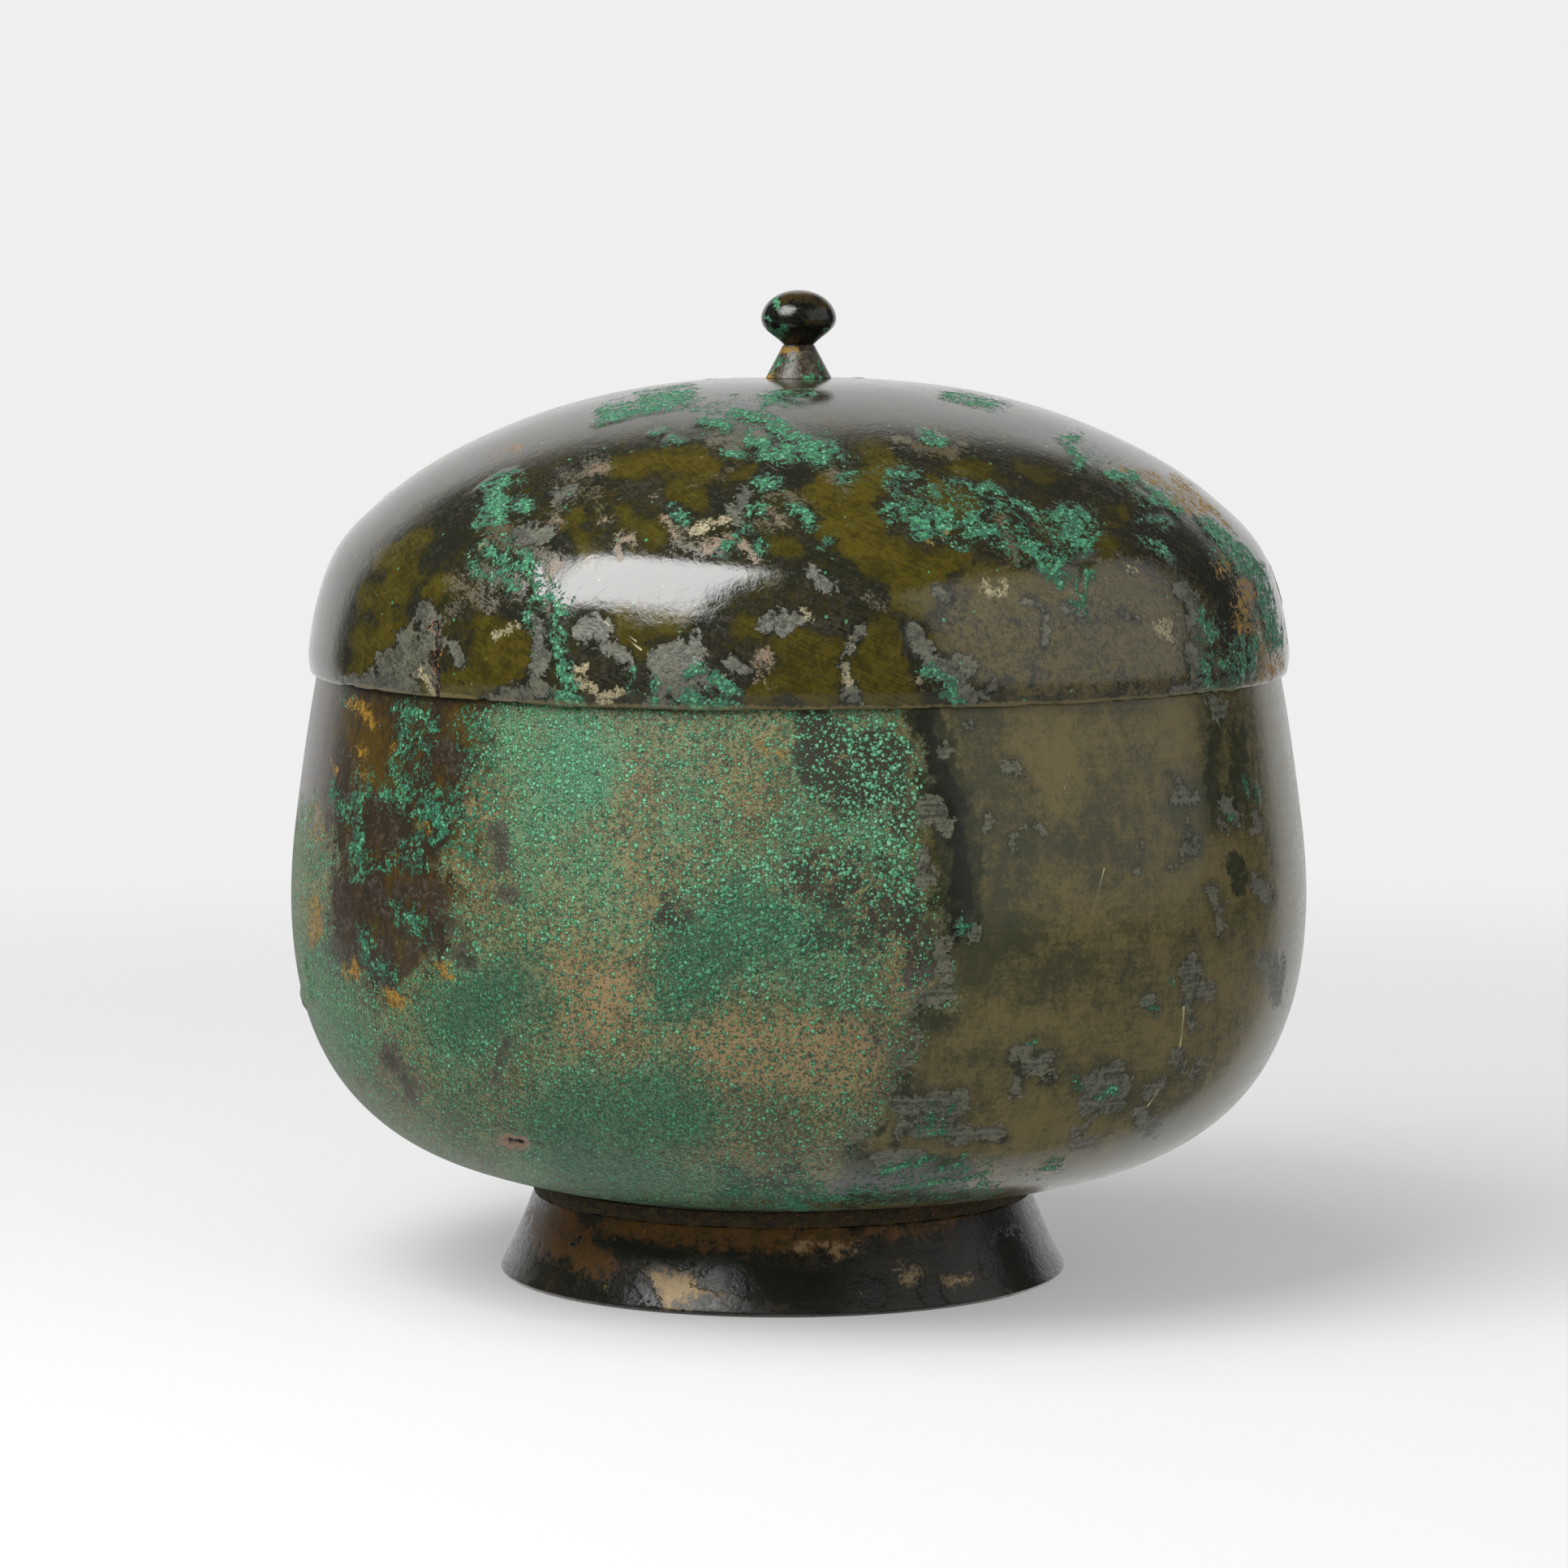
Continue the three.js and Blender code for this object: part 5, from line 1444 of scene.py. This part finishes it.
class BRONZE_OT_make_knob(bpy.types.Operator):
    """Makes the knob: its collar, its bead and the washer inside the lid"""

    bl_idname = "bronze.make_knob"
    bl_label = "Make Knob"

    def execute(self, context):
        colours = context.scene.bronze_colours
        angles = even_angles(count=120)
        collar = Turned("knob_collar", angles, outside_pitch=0.25, inside_pitch=0.5, turn=whole_outside)
        collar.keep("green", collar.depth(COLLAR_GREEN), -0.6, 1.5, 61, size=3.0)
        collar.keep("ochre", collar.depth(COLLAR_OCHRE), -1.0, 1.5, 62, size=3.0)
        collar.make("crusted_collar", "lid", collar_finish(colours))
        bead = Turned("knob_bead", angles, outside_pitch=0.25, inside_pitch=0.5, turn=whole_outside)
        bead.keep("green", bead.depth(BEAD_GREEN), -1.2, 1.5, 63, size=3.0)
        bead.keep("brown", bead.depth(BEAD_BROWN), -1.0, 1.5, 64, size=3.0)
        bead.make("black_bead", "lid", bead_finish(colours))
        angles = even_angles(count=96)
        washer = Turned("knob_washer", angles, outside_pitch=0.3, inside_pitch=0.5, turn=whole_outside)
        washer.make("inside_washer", "lid", washer_finish(colours))
        return {"FINISHED"}


def aimed(location, target):
    """The matrix of a lamp or camera at a location that faces a target."""
    turn = (target - location).to_track_quat("-Z", "Y").to_matrix().to_4x4()
    return Matrix.Translation(location) @ turn


def panel_lamp(name, power, seen_at, far, size):
    """A rectangular lamp seen at an azimuth right of the camera and an elevation, in degrees."""
    lamp = bpy.data.lights.new(name, "AREA")
    lamp.shape = "RECTANGLE"
    lamp.size, lamp.size_y = size
    lamp.energy = power
    holder = bpy.data.objects.new(name, lamp)
    across, up = (math.radians(angle) for angle in seen_at)
    away = Vector((math.sin(across) * math.cos(up), -math.cos(across) * math.cos(up), math.sin(up)))
    holder.matrix_world = aimed(LAMP_TARGET + away * far, LAMP_TARGET)
    holder.visible_camera = False
    bpy.context.scene.collection.objects.link(holder)
    return holder


class BRONZE_OT_make_stage(bpy.types.Operator):
    """Makes the pale floor, the backdrop, the soft lamps and the camera of the photograph"""

    bl_idname = "bronze.make_stage"
    bl_label = "Make Stage"

    def execute(self, context):
        scene = context.scene
        settings = scene.bronze_stage
        scene.view_settings.view_transform = "Standard"
        camera = bpy.data.cameras.new("photo camera")
        camera.lens = LENS
        camera.sensor_width = SENSOR
        holder = bpy.data.objects.new("photo camera", camera)
        holder.matrix_world = aimed(EYE, EYE + LOOK)
        scene.collection.objects.link(holder)
        scene.camera = holder
        self.make_lamps(settings)
        self.make_floor(scene, settings)
        self.make_world(scene, settings)
        return {"FINISHED"}

    def make_lamps(self, settings):
        """A softbox and a card that the object mirrors, and two soft fills that it does not."""
        panel_lamp("key softbox", settings.key_power, seen_at=(-46, 47), far=1.0, size=(0.68, 0.62))
        panel_lamp("right card", settings.card_power, seen_at=(68, 22), far=0.9, size=(1.25, 0.85))
        top = panel_lamp("top softbox", settings.top_power, seen_at=(-75, 72), far=1.0, size=(0.5, 0.5))
        front = panel_lamp("front fill", settings.front_power, seen_at=(0, 35), far=1.4, size=(1.6, 1.0))
        top.visible_glossy = False
        front.visible_glossy = False

    def make_floor(self, scene, settings):
        """A sheet of pale paper that fades into the backdrop."""
        mesh = bpy.data.meshes.new("floor")
        signs = ((-1, -1), (1, -1), (1, 1), (-1, 1))
        mesh.from_pydata([(x * FLOOR_REACH, y * FLOOR_REACH, 0) for x, y in signs], [], [(0, 1, 2, 3)])
        floor = bpy.data.objects.new("floor", mesh)
        scene.collection.objects.link(floor)
        paper = Coat("floor paper")
        paper.shader.inputs["Base Color"].default_value = (*settings.floor, 1)
        paper.shader.inputs["Emission Color"].default_value = (1, 1, 1, 1)
        paper.shader.inputs["Emission Strength"].default_value = settings.paper
        paper.shader.inputs["Roughness"].default_value = PAPER_ROUGHNESS
        away = paper.add("ShaderNodeVectorMath", paper.place, operation="LENGTH").outputs["Value"]
        mirrored = paper.add("ShaderNodeLightPath").outputs["Is Glossy Ray"]
        far = paper.edge(away, *(reach / MM for reach in FLOOR_FADE))
        fade = paper.math("MAXIMUM", far, paper.times(mirrored, FLOOR_UNMIRRORED))
        clear = paper.add("ShaderNodeBsdfTransparent").outputs["BSDF"]
        mixed = paper.add("ShaderNodeMixShader", fade, paper.shader.outputs["BSDF"], clear).outputs["Shader"]
        paper.feed(paper.tree.nodes["Material Output"].inputs["Surface"], mixed)
        mesh.materials.append(paper.material)

    def make_world(self, scene, settings):
        """A room that is mirrored as pale behind the object and dark elsewhere, and gives an even fill."""
        world = bpy.data.worlds.new("studio")
        scene.world = world
        world.use_nodes = True
        world.cycles.sampling_method = "NONE"
        room = Nodes(world.node_tree)
        direction = room.add("ShaderNodeTexCoord").outputs["Generated"]
        x, y, z = room.add("ShaderNodeSeparateXYZ", direction).outputs
        aside = room.math("ABSOLUTE", room.math("ARCTAN2", x, y))
        below_top = room.edge(room.plus(z, (aside, BACKDROP_TOP_SLOPE)), *BACKDROP_TOP)
        within = room.edge(aside, BACKDROP_ASIDE + BACKDROP_SOFTNESS, BACKDROP_ASIDE - BACKDROP_SOFTNESS)
        behind = room.times(within, below_top)
        mirrored = room.level(behind, settings.dark_room, settings.backdrop)
        ray = room.add("ShaderNodeLightPath").outputs
        unseen = room.level(ray["Is Glossy Ray"], settings.room, mirrored)
        sky = world.node_tree.nodes["Background"]
        sky.inputs["Color"].default_value = (1, 1, 1, 1)
        room.feed(sky.inputs["Strength"], room.level(ray["Is Camera Ray"], unseen, settings.backdrop))


class BRONZE_PT_panel(bpy.types.Panel):
    """Lists the steps that make the bowl, and what can be changed in them"""

    bl_idname = "BRONZE_PT_panel"
    bl_label = "Bronze Lidded Bowl"
    bl_space_type = "VIEW_3D"
    bl_region_type = "UI"
    bl_category = "Lidded Bowl"

    def draw(self, context):
        layout = self.layout
        for operator in OPERATORS:
            layout.operator(operator.bl_idname)
        for group in GROUPS:
            column = layout.box().column()
            values = getattr(context.scene, group)
            for name in GROUPS[group].__annotations__:
                column.prop(values, name)


OPERATORS = (
    BRONZE_OT_make_stage,
    BRONZE_OT_make_bowl,
    BRONZE_OT_make_foot,
    BRONZE_OT_make_lid,
    BRONZE_OT_make_knob,
)
GROUPS = {
    "bronze_colours": BRONZE_PG_colours,
    "bronze_relief": BRONZE_PG_relief,
    "bronze_stage": BRONZE_PG_stage,
}
CLASSES = (*GROUPS.values(), *OPERATORS, BRONZE_PT_panel)


def register():
    for each in CLASSES:
        bpy.utils.register_class(each)
    for name, group in GROUPS.items():
        setattr(bpy.types.Scene, name, PointerProperty(type=group))


def unregister():
    for name in GROUPS:
        delattr(bpy.types.Scene, name)
    for each in reversed(CLASSES):
        bpy.utils.unregister_class(each)


def main():
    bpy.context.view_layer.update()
    register()
    bpy.ops.bronze.make_stage()
    bpy.ops.bronze.make_bowl()
    bpy.ops.bronze.make_foot()
    bpy.ops.bronze.make_lid()
    bpy.ops.bronze.make_knob()


if __name__ == "__main__":
    main()
